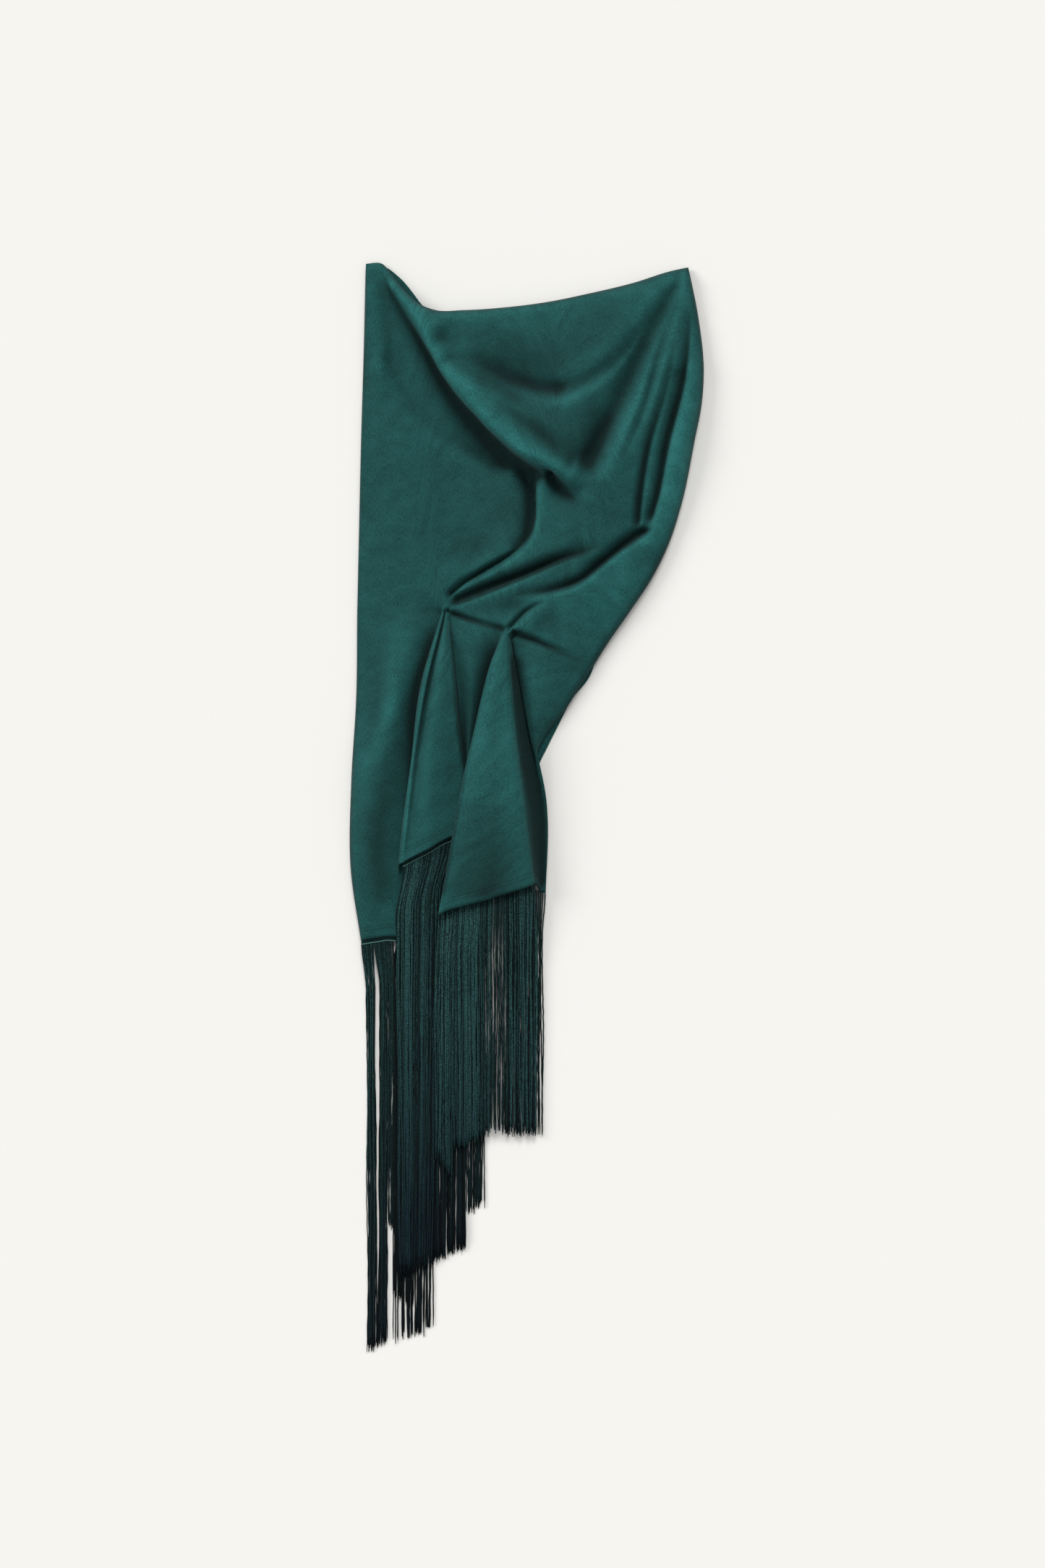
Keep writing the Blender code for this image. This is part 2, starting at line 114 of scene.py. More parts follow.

# %% [markdown]
# ## The swags and rays above the pinches
#
# Here the cloth lies in one layer, so its shape is a height over every place of the
# plan. A cloth simulation could find some folds, but not these ones. Instead each fold
# line is listed: a crest or a trough, given by three points with their heights.
# The radius says how softly the surface rounds over the line. A smooth surface is then
# drawn through all the lines at once.

# %% Fold lines above the pinches
Fold = namedtuple("Fold", "name radius start middle end")
FOLDS = (
    Fold("left_edge", 7, (-168, 570, 5), (-172, 392, 5), (-177, 202, 5)),
    Fold("top_left", 7, (-168, 570, 5), (-159, 570, 5.5), (-152, 569, 7)),
    Fold("top_dip", 7, (-152, 569, 7), (-130, 542, 11), (-97, 521, 12)),
    Fold("top_right", 7, (-97, 521, 12), (40, 532, 11), (170, 566, 7)),
    Fold("swag_crest_1", 5, (-147, 564, 10), (-127, 529, 15), (-103, 488, 20)),
    Fold("swag_crest_2", 5, (-103, 488, 20), (-74, 441, 24), (-38, 401, 27)),
    Fold("swag_crest_3", 5, (-38, 401, 27), (-8, 375, 27), (18, 361, 25)),
    Fold("swag_crest_4", 5, (18, 361, 25), (38, 348, 22), (57, 335, 17)),
    Fold("swag_foot_1", 2, (-152.5, 560, 6), (-132.5, 524, 5), (-108.5, 484, 5)),
    Fold("swag_foot_2", 2, (-108.5, 484, 5), (-80, 436, 5), (-44, 394, 5)),
    Fold("swag_foot_3", 2, (-44, 394, 5), (-12, 362, 4.5), (11, 346, 5)),
    Fold("swag_lip", 2, (23.5, 348, 8), (37, 334, 8.5), (52, 323, 13)),
    Fold("leaf_slope", 7, (-162, 540, 7), (-131, 415, 9), (-40, 350, 8.5)),
    Fold("leaf_flat", 7, (-150, 468, 9), (-127, 316, 9.5), (-127, 209, 8)),
    Fold("leaf_inner", 7, (-97, 377, 9.5), (-66, 323, 10), (-51, 275, 9)),
    Fold("hollow_left", 6, (-12, 352, 9), (-4, 325, 11), (1, 301, 12)),
    Fold("wrap_ridge", 6, (1, 301, 12), (-36, 265, 13), (-84, 223, 11.5)),
    Fold("hollow_right", 6, (20, 343, 14), (18, 313, 15), (14, 294, 15)),
    Fold("second_ridge", 6, (14, 291, 15), (-8, 260, 15.5), (-62, 226, 12)),
    Fold("third_ridge_low", 5, (-72, 209, 10), (-5, 230, 15), (60, 257, 16)),
    Fold("third_ridge_high", 5, (60, 257, 16), (100, 273, 14), (120, 284, 12)),
    Fold("fourth_ridge_high", 5, (130, 283, 13), (95, 258, 15), (57, 233, 18)),
    Fold("fourth_ridge_low", 5, (57, 233, 18), (13, 203, 17), (-13, 184, 14)),
    Fold("pucker_floor", 6, (-62, 204, 10), (-28, 206, 11), (-10, 207, 11)),
    Fold("side_panel", 8, (20, 192, 14), (55, 200, 15), (93, 215, 14)),
    Fold("swag_pocket", 9, (73, 354, 15.5), (101.5, 426, 14), (162, 554, 8)),
    Fold("ray_a", 6, (62, 325, 17), (108, 402, 22), (169, 555, 9.5)),
    Fold("ray_b", 6, (115, 360, 17), (138, 439, 19), (162, 516, 13)),
    Fold("ray_c", 6, (127, 316, 13), (142.5, 384, 14), (160, 450, 13)),
    Fold("rim_crest", 6, (148, 305, 13), (166, 384, 16), (179, 460, 13)),
    Fold("rim_high", 7, (170, 566, 7), (186, 459, 9), (162, 316, 9)),
    Fold("rim_low", 7, (162, 316, 9), (132, 241, 9), (69, 146, 8)),
    Fold("upper_panel", 9, (-72, 508, 12.5), (-6, 498, 14), (93, 521, 13)),
    Fold("upper_trough", 9, (-92, 485, 17), (-23.5, 444, 13), (30, 434, 14)),
    Fold("upper_swag", 7, (-84, 464, 20.5), (-15, 427, 21.5), (30, 418, 20.5)),
    Fold("upper_swag_arm", 7, (30, 418, 20.5), (85, 462, 18), (152, 550, 10)),
)
print("folds:", len(FOLDS))

# %% [markdown]
# ## The creases between the folds
#
# A crease is much sharper than a crest, and a smooth surface can't follow both. So each
# crease is a groove, cut along its own line after the surface is drawn. Its start, middle
# and end are depths, and left and right say how far it reaches to each side. Most are
# narrow on one side and wide on the other, like cloth that slips under a fold.

# %% Grooves along the creases
Groove = namedtuple("Groove", "name start middle end left right places")
GROOVES = (
    Groove("hollow", 8, 9, 0, 1.8, 9.5, (
        (8, 354), (9, 325), (8.5, 303), (4, 283), (-13, 264), (-30, 253),
    )),
    Groove("hollow_tail", 0, 8, 7, 1.8, 5, (
        (8, 300), (4, 283), (-13, 265.6), (-45.6, 245), (-66, 233), (-85, 216),
    )),
    Groove("deep_crease", 9, 10, 0, 9, 1.8, (
        (-83, 210), (-27, 232), (0, 242.5), (36, 257.5), (86, 273),
    )),
    Groove("pocket_crease", 8, 9, 0, 1.8, 9, (
        (135, 293), (104, 273), (80, 254), (56, 235), (28, 225), (-20, 220),
    )),
    Groove("rim_crease", 8, 8, 0, 8, 2.0, (
        (127, 287), (138, 322), (149.3, 379.6), (165.3, 442.7), (174, 535),
    )),
    Groove("slot", 7, 4, 0, 4, 4, (
        (116, 286), (118, 311), (119.4, 328), (126, 372), (141, 424), (162, 500),
    )),
    Groove("ray_valley", 0, 5, 0, 5, 5, (
        (160, 536), (142, 482), (125, 424), (112, 390), (95, 352),
    )),
    Groove("swag_pocket", 7, 5, 0, 12, 11, (
        (50, 350), (64, 366), (84, 398), (102, 432), (130, 496), (166, 556),
    )),
    Groove("crest_back", 0, 6, 6, 17, 11, (
        (-74, 470), (-36, 433), (0, 402), (30, 376), (56, 352),
    )),
    Groove("upper_trough", 0, 5, 0, 11, 7, (
        (-100, 485), (-52, 463), (2, 441), (40, 436), (76, 453), (154, 543),
    )),
    Groove("side_crease", 6, 5, 0, 3, 7, (
        (-20, 186), (-4, 181), (22, 168.5), (45, 158), (69, 147.8),
    )),
    Groove("pucker_crease", 5, 6, 5, 4, 2, (
        (-87, 207), (-68, 198), (-50, 192), (-36, 187), (-19, 184),
    )),
    Groove("pinch_valley", 6, 5, 0, 4, 2.5, (
        (-23, 181), (-10, 194), (-1, 203), (8, 209), (22, 215),
    )),
)
print("grooves:", len(GROOVES))

# %% [markdown]
# ## One surface through them all
#
# A radial surface passes through every fold line and every point of the waist, where the
# upper part meets the pleats. The grooves are then cut into it, and fade out at their
# ends. The height is held between the hidden plies and the highest crest.

# %% Surface through the folds
FOLD_STEP = 3.0
NEAREST_POINTS = 1.8
WAIST_POINTS = 120
WAIST_RADIUS = 3.0
LINE_STEPS = 160
END_FADE = 0.08
LOWEST = 4.6
HIGHEST = 28.0


def fold_points(waist):
    """Rows of x, y, height and radius along every fold line and along the waist."""
    kept = [(*place, WAIST_RADIUS) for place in waist[:: len(waist) // WAIST_POINTS + 1]]
    for fold in FOLDS:
        ends = np.array([fold.start, fold.middle, fold.end], float)
        length = np.linalg.norm(np.diff(ends[:, :2], axis=0), axis=1).sum()
        count = max(3, int(length / FOLD_STEP))
        for point in smooth_between(ends, (0, 0.5, 1), np.linspace(0, 1, count)):
            kept.append((*point, fold.radius))
    kept = np.array(kept)
    free = np.ones(len(kept), bool)
    for place in range(len(kept)):
        if free[place]:
            gaps = np.hypot(*(kept[place + 1:, :2] - kept[place, :2]).T)
            free[place + 1:] &= gaps > NEAREST_POINTS
    return kept[free]


def along_line(row, places):
    """For each place, the nearest share of a row's line and the closeness to it."""
    share = np.linspace(0, 1, LINE_STEPS)
    line = smooth_along(row.places, share)
    ahead = np.gradient(line, axis=0)
    gaps = places[:, None, :] - line[None, :, :]
    away = np.linalg.norm(gaps, axis=2)
    near = away.argmin(axis=1)
    rank = np.arange(len(places))
    side = ahead[near, 0] * gaps[rank, near, 1] - ahead[near, 1] * gaps[rank, near, 0]
    width = np.where(side > 0, row.left, row.right)
    return share[near], np.exp(-((away[rank, near] / width) ** 2))


def line_value(row, places):
    """A row's start, middle and end value, spread along and around its line."""
    share, closeness = along_line(row, places)
    values = smooth_between([[row.start], [row.middle], [row.end]], (0, 0.5, 1), share)[:, 0]
    return values * closeness * ease(share / END_FADE) * ease((1 - share) / END_FADE)


def height_field(waist):
    """A smooth surface through the fold points, as a function of x and y."""
    points = fold_points(waist)
    centres, heights, radii = points[:, :2], points[:, 2], points[:, 3]

    def kernel(places):
        gaps = np.linalg.norm(places[:, None, :] - centres[None, :, :], axis=2)
        return np.sqrt(gaps**2 + radii**2)

    count = len(points)
    matrix = np.zeros((count + 1, count + 1))
    matrix[:count, :count] = kernel(centres)
    matrix[:count, count] = 1
    matrix[count, :count] = 1
    weights = np.linalg.solve(matrix, np.append(heights, 0))
    print("fold points:", count)

    def height(places):
        raw = kernel(places) @ weights[:count] + weights[count]
        raw = HIGHEST - soft_positive(HIGHEST - raw)
        cut = np.max([line_value(groove, places) for groove in GROOVES], axis=0)
        return LOWEST + soft_positive(raw - cut - LOWEST)

    return height


# %% [markdown]
# ## The pleats below the pinches
#
# Below the pinches the cloth doubles back on itself, so a height over the plan isn't
# enough. Each fold line is followed down the scarf instead, through five stations from
# the pinches to the hem. Neighbouring lines run back under each other where a pleat turns.
# The u of a line is its share of the cloth's width.

# %% Fold lines below the pinches
Pleat = namedtuple("Pleat", "name u waist upper middle lower hem")
PLEATS = (
    Pleat("left_edge", 0.0,
          (-177, 202, 5), (-178, 114, 5), (-183, 27, 9), (-184, -60, 8), (-173, -140, 6)),
    Pleat("left_outer", 0.06,
          (-148, 202, 7), (-158, 120, 8), (-162, 35, 15), (-164, -57, 11), (-161, -138, 6)),
    Pleat("left_inner", 0.12,
          (-116, 202, 8), (-136, 122, 14), (-142, 44, 13), (-144, -55, 8), (-149, -136, 6)),
    Pleat("left_tuck", 0.17,
          (-92, 200, 6), (-114, 124, 4), (-117, 42, 4), (-120, -45, 4.5), (-126, -131, 4.5)),
    Pleat("narrow_left", 0.24,
          (-88, 203, 8), (-109, 124, 12), (-120, 46, 13), (-128, -14, 12), (-133, -60, 10)),
    Pleat("narrow_roll", 0.25,
          (-87, 203, 10), (-106, 126, 16), (-118, 51, 17), (-125, -13, 16.5), (-130, -59, 13.5)),
    Pleat("narrow_crease", 0.265,
          (-86, 202, 7), (-104, 128, 12), (-115, 57, 14.5), (-123, -11, 15.5), (-127, -57, 14)),
    Pleat("middle_panel", 0.33,
          (-84, 200, 10), (-92, 135, 19), (-97, 73, 20), (-101, 12, 18), (-104, -45, 15)),
    Pleat("middle_slope", 0.40,
          (-82, 200, 10), (-82, 139, 19), (-77, 80, 17), (-76, 22, 13), (-78, -31, 11)),
    Pleat("middle_edge", 0.43,
          (-82, 199, 10), (-76, 141, 18), (-71, 80, 15), (-63, 23, 11), (-55, -22, 9.5)),
    Pleat("middle_tuck", 0.45,
          (-81, 198, 9), (-75, 141, 14), (-69, 80, 11), (-59, 23, 9), (-50, -22, 9)),
    Pleat("hidden_panel", 0.51,
          (-51, 190, 12), (-55, 145, 13), (-59, 82, 12), (-63, 19, 12), (-65, -45, 12)),
    Pleat("front_foot", 0.57,
          (-25, 184, 9), (-36, 141, 9), (-51, 84, 11), (-63, 16, 13), (-78, -95, 14)),
    Pleat("front_left", 0.585,
          (-23, 184, 10), (-39, 143, 16), (-55, 76, 18), (-70, 8, 19), (-91, -111, 17)),
    Pleat("front_roll", 0.61,
          (-22, 184, 12), (-35, 145, 20), (-50, 79, 22), (-62, 10, 22), (-82, -108, 19)),
    Pleat("front_panel", 0.68,
          (-20, 182, 13), (-25, 137, 23), (-32, 73, 24), (-32, 4, 24), (-41, -97, 20)),
    Pleat("front_crest", 0.74,
          (-19, 180, 12), (-17, 130, 20), (-13, 73, 22), (-5, 4, 21), (6, -82, 18)),
    Pleat("front_right", 0.76,
          (-18, 179, 10), (-14, 127, 16), (-9, 71, 17), (0, 4, 15), (10, -80, 12)),
    Pleat("right_tuck", 0.79,
          (-15, 174, 6), (-3, 122, 4.5), (7, 73, 4.5), (13, 4, 5), (15, -89, 4.5)),
    Pleat("flap_left", 0.81,
          (-14.5, 175, 9), (-5, 122, 9), (4, 76, 9), (18, 4, 5), (18, -90, 4)),
    Pleat("flap_roll", 0.85,
          (2, 170, 13), (3, 120, 13), (7, 74, 10.5), (20, 4, 4.6), (19, -90, 4)),
    Pleat("right_edge", 1.0,
          (69, 146, 9), (44, 107, 8), (11, 54, 8), (22, -11, 4), (20, -91, 4)),
)


def pleat_net(u):
    """The five stations of the lower part for each share of the width."""
    knots = [pleat.u for pleat in PLEATS]
    stations = []
    for station in range(2, 7):
        stations.append(smooth_between([pleat[station] for pleat in PLEATS], knots, u))
    return np.stack(stations, axis=1)


# %% [markdown]
# ## The front leaf as a net of points
#
# The net has the same number of columns from the top fold to the hem, like the warp of
# the real cloth. Above the pinches its plan is stretched between the four edges, and
# below them it follows the pleats. The columns gather only near the waist. Crests then
# lean down over their feet, and the outer edges roll down to the floor.

# %% Net of the front leaf
COLUMNS = 176
UPPER_ROWS = 150
LOWER_ROWS = 106
EDGE_BLEND = 0.02
GATHER = 3
RELIEF = 1.25
LEAN = (-0.22, -0.40)
LEAN_SPREAD = 5
LEAN_MARGIN = 16.0
ROW_GAP = 2.5
EDGE_LOW = 3.4
EDGE_ROLLS = {"top": 9.0, "left": 6.0, "right": 9.0}


def upper_rows(u, waist):
    top = smooth_along(TOP_EDGE, u)
    height = height_field(waist)
    even = (1 - u)[:, None] * waist[0, :2] + u[:, None] * waist[-1, :2]
    rows = []
    for v in np.linspace(0, 1, UPPER_ROWS + 1)[:-1]:
        left = smooth_along(LEFT_EDGE, [v])[0]
        right = smooth_along(RIGHT_EDGE, [v])[0]
        across = (1 - u)[:, None] * left + u[:, None] * right
        down = (1 - v) * top + v * even + v**GATHER * (waist[:, :2] - even)
        corners = (1 - v) * ((1 - u)[:, None] * top[0] + u[:, None] * top[-1]) + v * even
        plan = across + down - corners
        near = ease((v - 1 + EDGE_BLEND) / EDGE_BLEND)
        lift = (1 - near) * height(plan) + near * waist[:, 2]
        rows.append(np.column_stack([plan, lift]))
    return rows


def lower_rows(net):
    stations = np.linspace(0, 1, net.shape[1])
    lines = net.transpose(1, 0, 2).reshape(net.shape[1], -1)
    rows = smooth_between(lines, stations, np.linspace(0, 1, LOWER_ROWS + 1))
    return list(rows.reshape(LOWER_ROWS + 1, -1, 3))


def turned_down(inward, top, low, reach):
    """Height of a rolled edge: a quarter round from low up to top."""
    away = np.clip(1 - inward / reach, 0, 1)
    return low + (top - low) * np.sqrt(1 - away**2)


def blurred(heights, passes):
    """The same heights with every place averaged with its neighbours."""
    for _ in range(passes):
        wide = np.pad(heights, 1, mode="edge")
        heights = (wide[:-2, 1:-1] + wide[2:, 1:-1] + wide[1:-1, :-2] + wide[1:-1, 2:]) / 4
    return heights


def leaned(points, inward):
    """Crests above the pinches slip down over their feet, as loose cloth sags."""
    upper = points[:UPPER_ROWS]
    rise = upper[:, :, 2] - blurred(upper[:, :, 2], LEAN_SPREAD**2)
    waist_gap = (UPPER_ROWS - np.arange(UPPER_ROWS))[:, None] * ROW_GAP
    for gap in (*[inward[side][:UPPER_ROWS] for side in inward], waist_gap):
        rise = rise * ease(gap / LEAN_MARGIN)
    points[:UPPER_ROWS, :, 0] += LEAN[0] * rise
    points[:UPPER_ROWS, :, 1] += LEAN[1] * rise
    return points


def front_leaf_net():
    u = np.linspace(0, 1, COLUMNS + 1)
    net = pleat_net(u)
    points = np.array(upper_rows(u, net[:, 0]) + lower_rows(net))
    inward = {
        "top": np.linalg.norm(points - points[:1], axis=2),
        "left": np.linalg.norm(points - points[:, :1], axis=2),
        "right": np.linalg.norm(points - points[:, -1:], axis=2),
    }
    points[:, :, 2] = EDGE_LOW + (points[:, :, 2] - EDGE_LOW) * RELIEF
    for side, reach in EDGE_ROLLS.items():
        points[:, :, 2] = turned_down(inward[side], points[:, :, 2], EDGE_LOW, reach)
    return leaned(points, inward)


leaf_net = front_leaf_net()
print("front leaf net:", leaf_net.shape)

# %% [markdown]
# ## Painted shade and light on the folds
#
# Brushed wool looks dark where folds shade each other, more than light alone shows on so
# shallow a relief. So every place gets a painted shade: how far it lies below its
# surroundings, and soft painted shades and highlights laid along lines. A painted picture
# could carry them too, but values worked out on the net stay with the cloth when it changes.
#
# A row's start, middle and end are painted shades from -1, light, to 1, dark. Left and right
# say how far it fades to each side, and low and high which share of the width it lies on.

# %% Painted shade and light along the folds
Tone = namedtuple("Tone", "name low high start middle end left right places")
# Each row paints shade along a fold line, or light where its values are below zero.
PAINTED_SHADES = (
    Tone("under_swag", 0.0, 0.8, 0.35, 0.5, 0.95, 2, 12, (
        (-152, 560), (-131, 522), (-107, 482), (-79, 434), (-40, 390), (4, 350),
    )),
    Tone("hollow", 0.0, 0.8, 1.1, 0.8, 0.4, 2, 14, (
        (8, 356), (9, 325), (8, 300), (-13, 266),
    )),
    Tone("leaf_inner", 0.0, 0.8, 0.1, 0.35, 0.2, 20, 40, (
        (-70, 412), (-20, 345), (-16, 300), (-70, 240),
    )),
    Tone("second_ridge", 0.0, 0.9, 0.3, 0.35, 0.2, 10, 10, (
        (-70, 217), (-20, 242), (20, 258), (60, 275),
    )),
    Tone("deep_line", 0.0, 0.95, 0.9, 1.0, 0.2, 6, 3.5, (
        (-84, 209), (-40, 226), (0, 241), (36, 256), (84, 272),
    )),
    Tone("pocket_line", 0.3, 0.98, 0.8, 0.7, 0.1, 1.8, 6, (
        (134, 292), (104, 272), (80, 253), (56, 234), (10, 224),
    )),
    Tone("rim_line", 0.6, 1.0, 0.7, 0.6, 0.1, 7, 1.8, (
        (127, 289), (137, 322), (148, 379), (164, 442), (173, 525),
    )),
    Tone("slot_line", 0.5, 1.0, 0.8, 0.5, 0.1, 5, 3, (
        (115, 287), (117, 311), (119, 330), (128, 378), (150, 450),
    )),
    Tone("pucker_line", 0.1, 0.7, 0.7, 0.8, 0.6, 4, 2, (
        (-86, 206), (-68, 197), (-50, 191), (-20, 184),
    )),
    Tone("side_line", 0.7, 1.0, 0.8, 0.5, 0.2, 2, 3, (
        (-18, 185), (2, 178), (22, 168), (69, 147),
    )),
    Tone("lip_line", 0.1, 0.9, 0.6, 0.9, 0.3, 1.8, 6, (
        (2, 353), (20, 346), (38, 333), (55, 320),
    )),
    Tone("swag_field", 0.1, 0.95, 0.15, 0.65, 0.3, 30, 26, (
        (-60, 450), (0, 412), (55, 372), (84, 425),
    )),
    Tone("upper_field", 0.1, 0.95, 0.1, 0.35, 0.25, 26, 20, (
        (-70, 486), (30, 466), (110, 520),
    )),
    Tone("crest_light", 0.1, 0.95, -0.1, -0.35, -0.3, 7, 4, (
        (-104, 489), (-64, 432), (-16, 386), (48, 342),
    )),
    Tone("third_shade", 0.3, 0.95, 0.1, 0.35, 0.2, 10, 8, (
        (-60, 208), (0, 220), (40, 238), (84, 264),
    )),
    Tone("rim_light", 0.7, 1.0, -0.1, -0.75, -0.45, 12, 20, (
        (184, 470), (176, 385), (155, 315), (128, 262),
    )),
    Tone("low_right_light", 0.5, 1.0, -0.4, -0.55, -0.2, 32, 30, (
        (120, 262), (70, 205), (30, 192),
    )),
    Tone("side_shade", 0.7, 1.0, 0.4, 0.25, 0.2, 3, 13, (
        (-16, 184), (22, 168), (66, 148),
    )),
    Tone("left_slope", 0.0, 0.2, 0.1, 0.5, 0.3, 14, 24, (
        (-98, 190), (-122, 110), (-140, 40), (-150, -40), (-150, -110),
    )),
    Tone("left_groove", 0.0, 0.2, 0.0, 0.35, 0.2, 9, 12, (
        (-146, 40), (-155, 0), (-158, -60), (-155, -110),
    )),
    Tone("left_ridge", 0.0, 0.2, -0.1, -0.5, -0.2, 7, 8, (
        (-108, 170), (-127, 127), (-146, 87), (-160, 52), (-177, 32),
    )),
    Tone("left_tuck", 0.0, 0.23, 0.7, 0.9, 0.5, 5, 6, (
        (-92, 198), (-114, 122), (-118, 42), (-122, -45), (-128, -100),
    )),
    Tone("narrow_line", 0.23, 0.30, 0.5, 0.6, 0.1, 2.2, 2.2, (
        (-86, 202), (-104, 128), (-115, 57), (-122, -11),
    )),
    Tone("middle_slope", 0.34, 0.46, 0.5, 0.75, 0.9, 9, 3, (
        (-82, 198), (-77, 141), (-71, 80), (-60, 18), (-52, -22),
    )),
    Tone("hidden_panel", 0.44, 0.60, 0.5, 0.8, 0.95, 6, 22, (
        (-24, 182), (-40, 138), (-56, 76), (-72, 0), (-92, -105),
    )),
    Tone("front_light", 0.58, 0.72, -0.1, -0.15, 0.0, 14, 14, (
        (-24, 168), (-38, 110), (-46, 50), (-52, 0),
    )),
    Tone("front_low", 0.58, 0.76, 0.1, 0.55, 0.75, 44, 44, (
        (-30, 10), (-36, -50), (-40, -100),
    )),
    Tone("front_side", 0.72, 0.80, 0.6, 0.6, 0.4, 6, 3, (
        (-17, 168), (-12, 95), (-1, 12), (10, -82),
    )),
    Tone("dark_piece", 0.755, 1.0, 0.9, 1.0, 0.9, 9, 9, (
        (-12, 168), (-6, 106), (2, 50), (12, 0), (16, -60), (16, -92),
    )),
)
SHADE_SCALES = ((12, 3.0, 0.45), (60, 7.0, 0.40), (260, 11.0, 0.25))


def fold_shade(net):
    """A painted shade: how far each place lies below its surroundings, from -1 on a crest to 1."""
    lift = net[:, :, 2]
    shade = 0
    for passes, depth, weight in SHADE_SCALES:
        shade = shade + weight * np.clip((blurred(lift, passes) - lift) / depth, -1, 1)
    return blurred(shade, 1)


def painted_leaf_shade(net):
    """The painted shade of the front leaf, with the painted shades and highlights laid over it."""
    columns = np.linspace(0, 1, net.shape[1])
    shade = fold_shade(net)
    for row in PAINTED_SHADES:
        inside = (columns >= row.low) & (columns <= row.high)
        places = net[:, inside, :2].reshape(-1, 2)
        shade[:, inside] += line_value(row, places).reshape(len(net), -1)
    return np.clip(shade, -1, 1)


leaf_shade = painted_leaf_shade(leaf_net)
print("fold shade:", leaf_shade.min().round(2), "to", leaf_shade.max().round(2))

# %% [markdown]
# ## From net to cloth
#
# A grid primitive has just the right faces, so its vertices only have to be moved to the
# net. The UV map is laid out in metres of real cloth: U runs across the scarf and V
# counts up from the hem, so that the weave and the stitching keep their true size.

# %% Cloth pieces from nets
CLOTH_WALL = 1.2 * MM


def finished_mesh(name, shape):
    """A mesh with the shape of a bmesh, which is freed."""
    mesh = bpy.data.meshes.new(name)
    shape.to_mesh(mesh)
    shape.free()
    return mesh


def placed(name, data):
    """An object at the origin, shown in the scene."""
    piece = bpy.data.objects.new(name, data)
    bpy.context.scene.collection.objects.link(piece)
    return piece


def cloth_object(name, net, wall, shade):
    """A thin wall over a net of points, with its cloth map and its painted fold shade."""
    rows, columns = net.shape[:2]
    shape = bmesh.new()
    bmesh.ops.create_grid(shape, x_segments=columns - 1, y_segments=rows - 1, size=1)
    shape.verts.ensure_lookup_table()
    flat = np.array([vertex.co for vertex in shape.verts])
    order = np.lexsort((flat[:, 0].round(5), -flat[:, 1].round(5)))
    points = net.reshape(-1, 3) * MM
    across = np.linalg.norm(np.diff(net, axis=1, prepend=net[:, :1]), axis=2).cumsum(axis=1)
    down = np.linalg.norm(np.diff(net, axis=0, append=net[-1:]), axis=2)
    above_hem = down[::-1].cumsum(axis=0)[::-1]
    cloth_map = np.stack([across, above_hem], axis=2).reshape(-1, 2) * MM
    place_of = np.empty(len(order), int)
    place_of[order] = np.arange(len(order))
    for vertex in shape.verts:
        vertex.co = points[place_of[vertex.index]]
    layer = shape.loops.layers.uv.new("cloth")
    for face in shape.faces:
        for loop in face.loops:
            loop[layer].uv = cloth_map[place_of[loop.vert.index]]
    mesh = finished_mesh(name, shape)
    # The painted shade and light of the folds goes on the mesh as an attribute.
    layer = mesh.attributes.new("fold_shade", "FLOAT", "POINT")
    layer.data.foreach_set("value", shade.ravel()[place_of])
    if mesh.polygons[0].normal.z < 0:
        mesh.flip_normals()
    mesh.shade_smooth()
    piece = placed(name, mesh)
    thick = piece.modifiers.new("Wall", "SOLIDIFY")
    thick.thickness = wall
    thick.offset = 0
    return piece


front_leaf = cloth_object("front_leaf_cloth", leaf_net, CLOTH_WALL, leaf_shade)
print("front leaf faces:", len(front_leaf.data.polygons))

# %% [markdown]
# ## The back leaf
#
# Only a strip of the lower leaf shows, at the top left and along the right, with its
# side turned and stitched like a hem. It is a flat sheet in the outline of the CAD leaf:
# a filled outline, raised to the thickness of two plies, with its upper ply set in.

# %% Back leaf
BACK_OUTLINE = (
    (-165, 566), (-152, 568), (-133, 556), (-119, 540), (-110, 528), (-95, 515), (-66, 515),
    (-21, 518), (25, 524), (64, 532), (114, 544), (150, 555), (162, 556), (170, 516),
    (177, 459), (169, 388), (154, 316), (141, 276), (124, 241), (101, 206), (80, 174),
    (65, 134), (49, 114), (34, 86), (21, 60), (13, 43), (11, 20), (13, -40), (12, -80),
    (-40, -90), (-90, -106), (-130, -124), (-166, -132), (-175, -60), (-176, 27), (-173, 114),
    (-172, 202), (-170, 290), (-168, 392), (-166, 480), (-165, 550),
)
OUTLINE_POINTS = 420
PLY = 1.25 * MM
PLY_STEP = 2.5 * MM
PLY_ROUND = 0.45 * MM


def smooth_outline(points, count):
    """Places along a smooth closed line through the points, in metres."""
    ring = np.array(points[-2:] + points + points[:3], float)
    reach = np.append(0, np.cumsum(np.linalg.norm(np.diff(ring, axis=0), axis=1)))
    places = np.linspace(reach[2], reach[-3], count, endpoint=False)
    return smooth_between(ring, reach, places) * MM


def raised(shape, face, height):
    """Draws a face up by a height and returns it."""
    grown = bmesh.ops.extrude_face_region(shape, geom=[face])["geom"]
    moved = [item for item in grown if isinstance(item, bmesh.types.BMVert)]
    bmesh.ops.translate(shape, verts=moved, vec=(0, 0, height))
    return [item for item in grown if isinstance(item, bmesh.types.BMFace)][0]


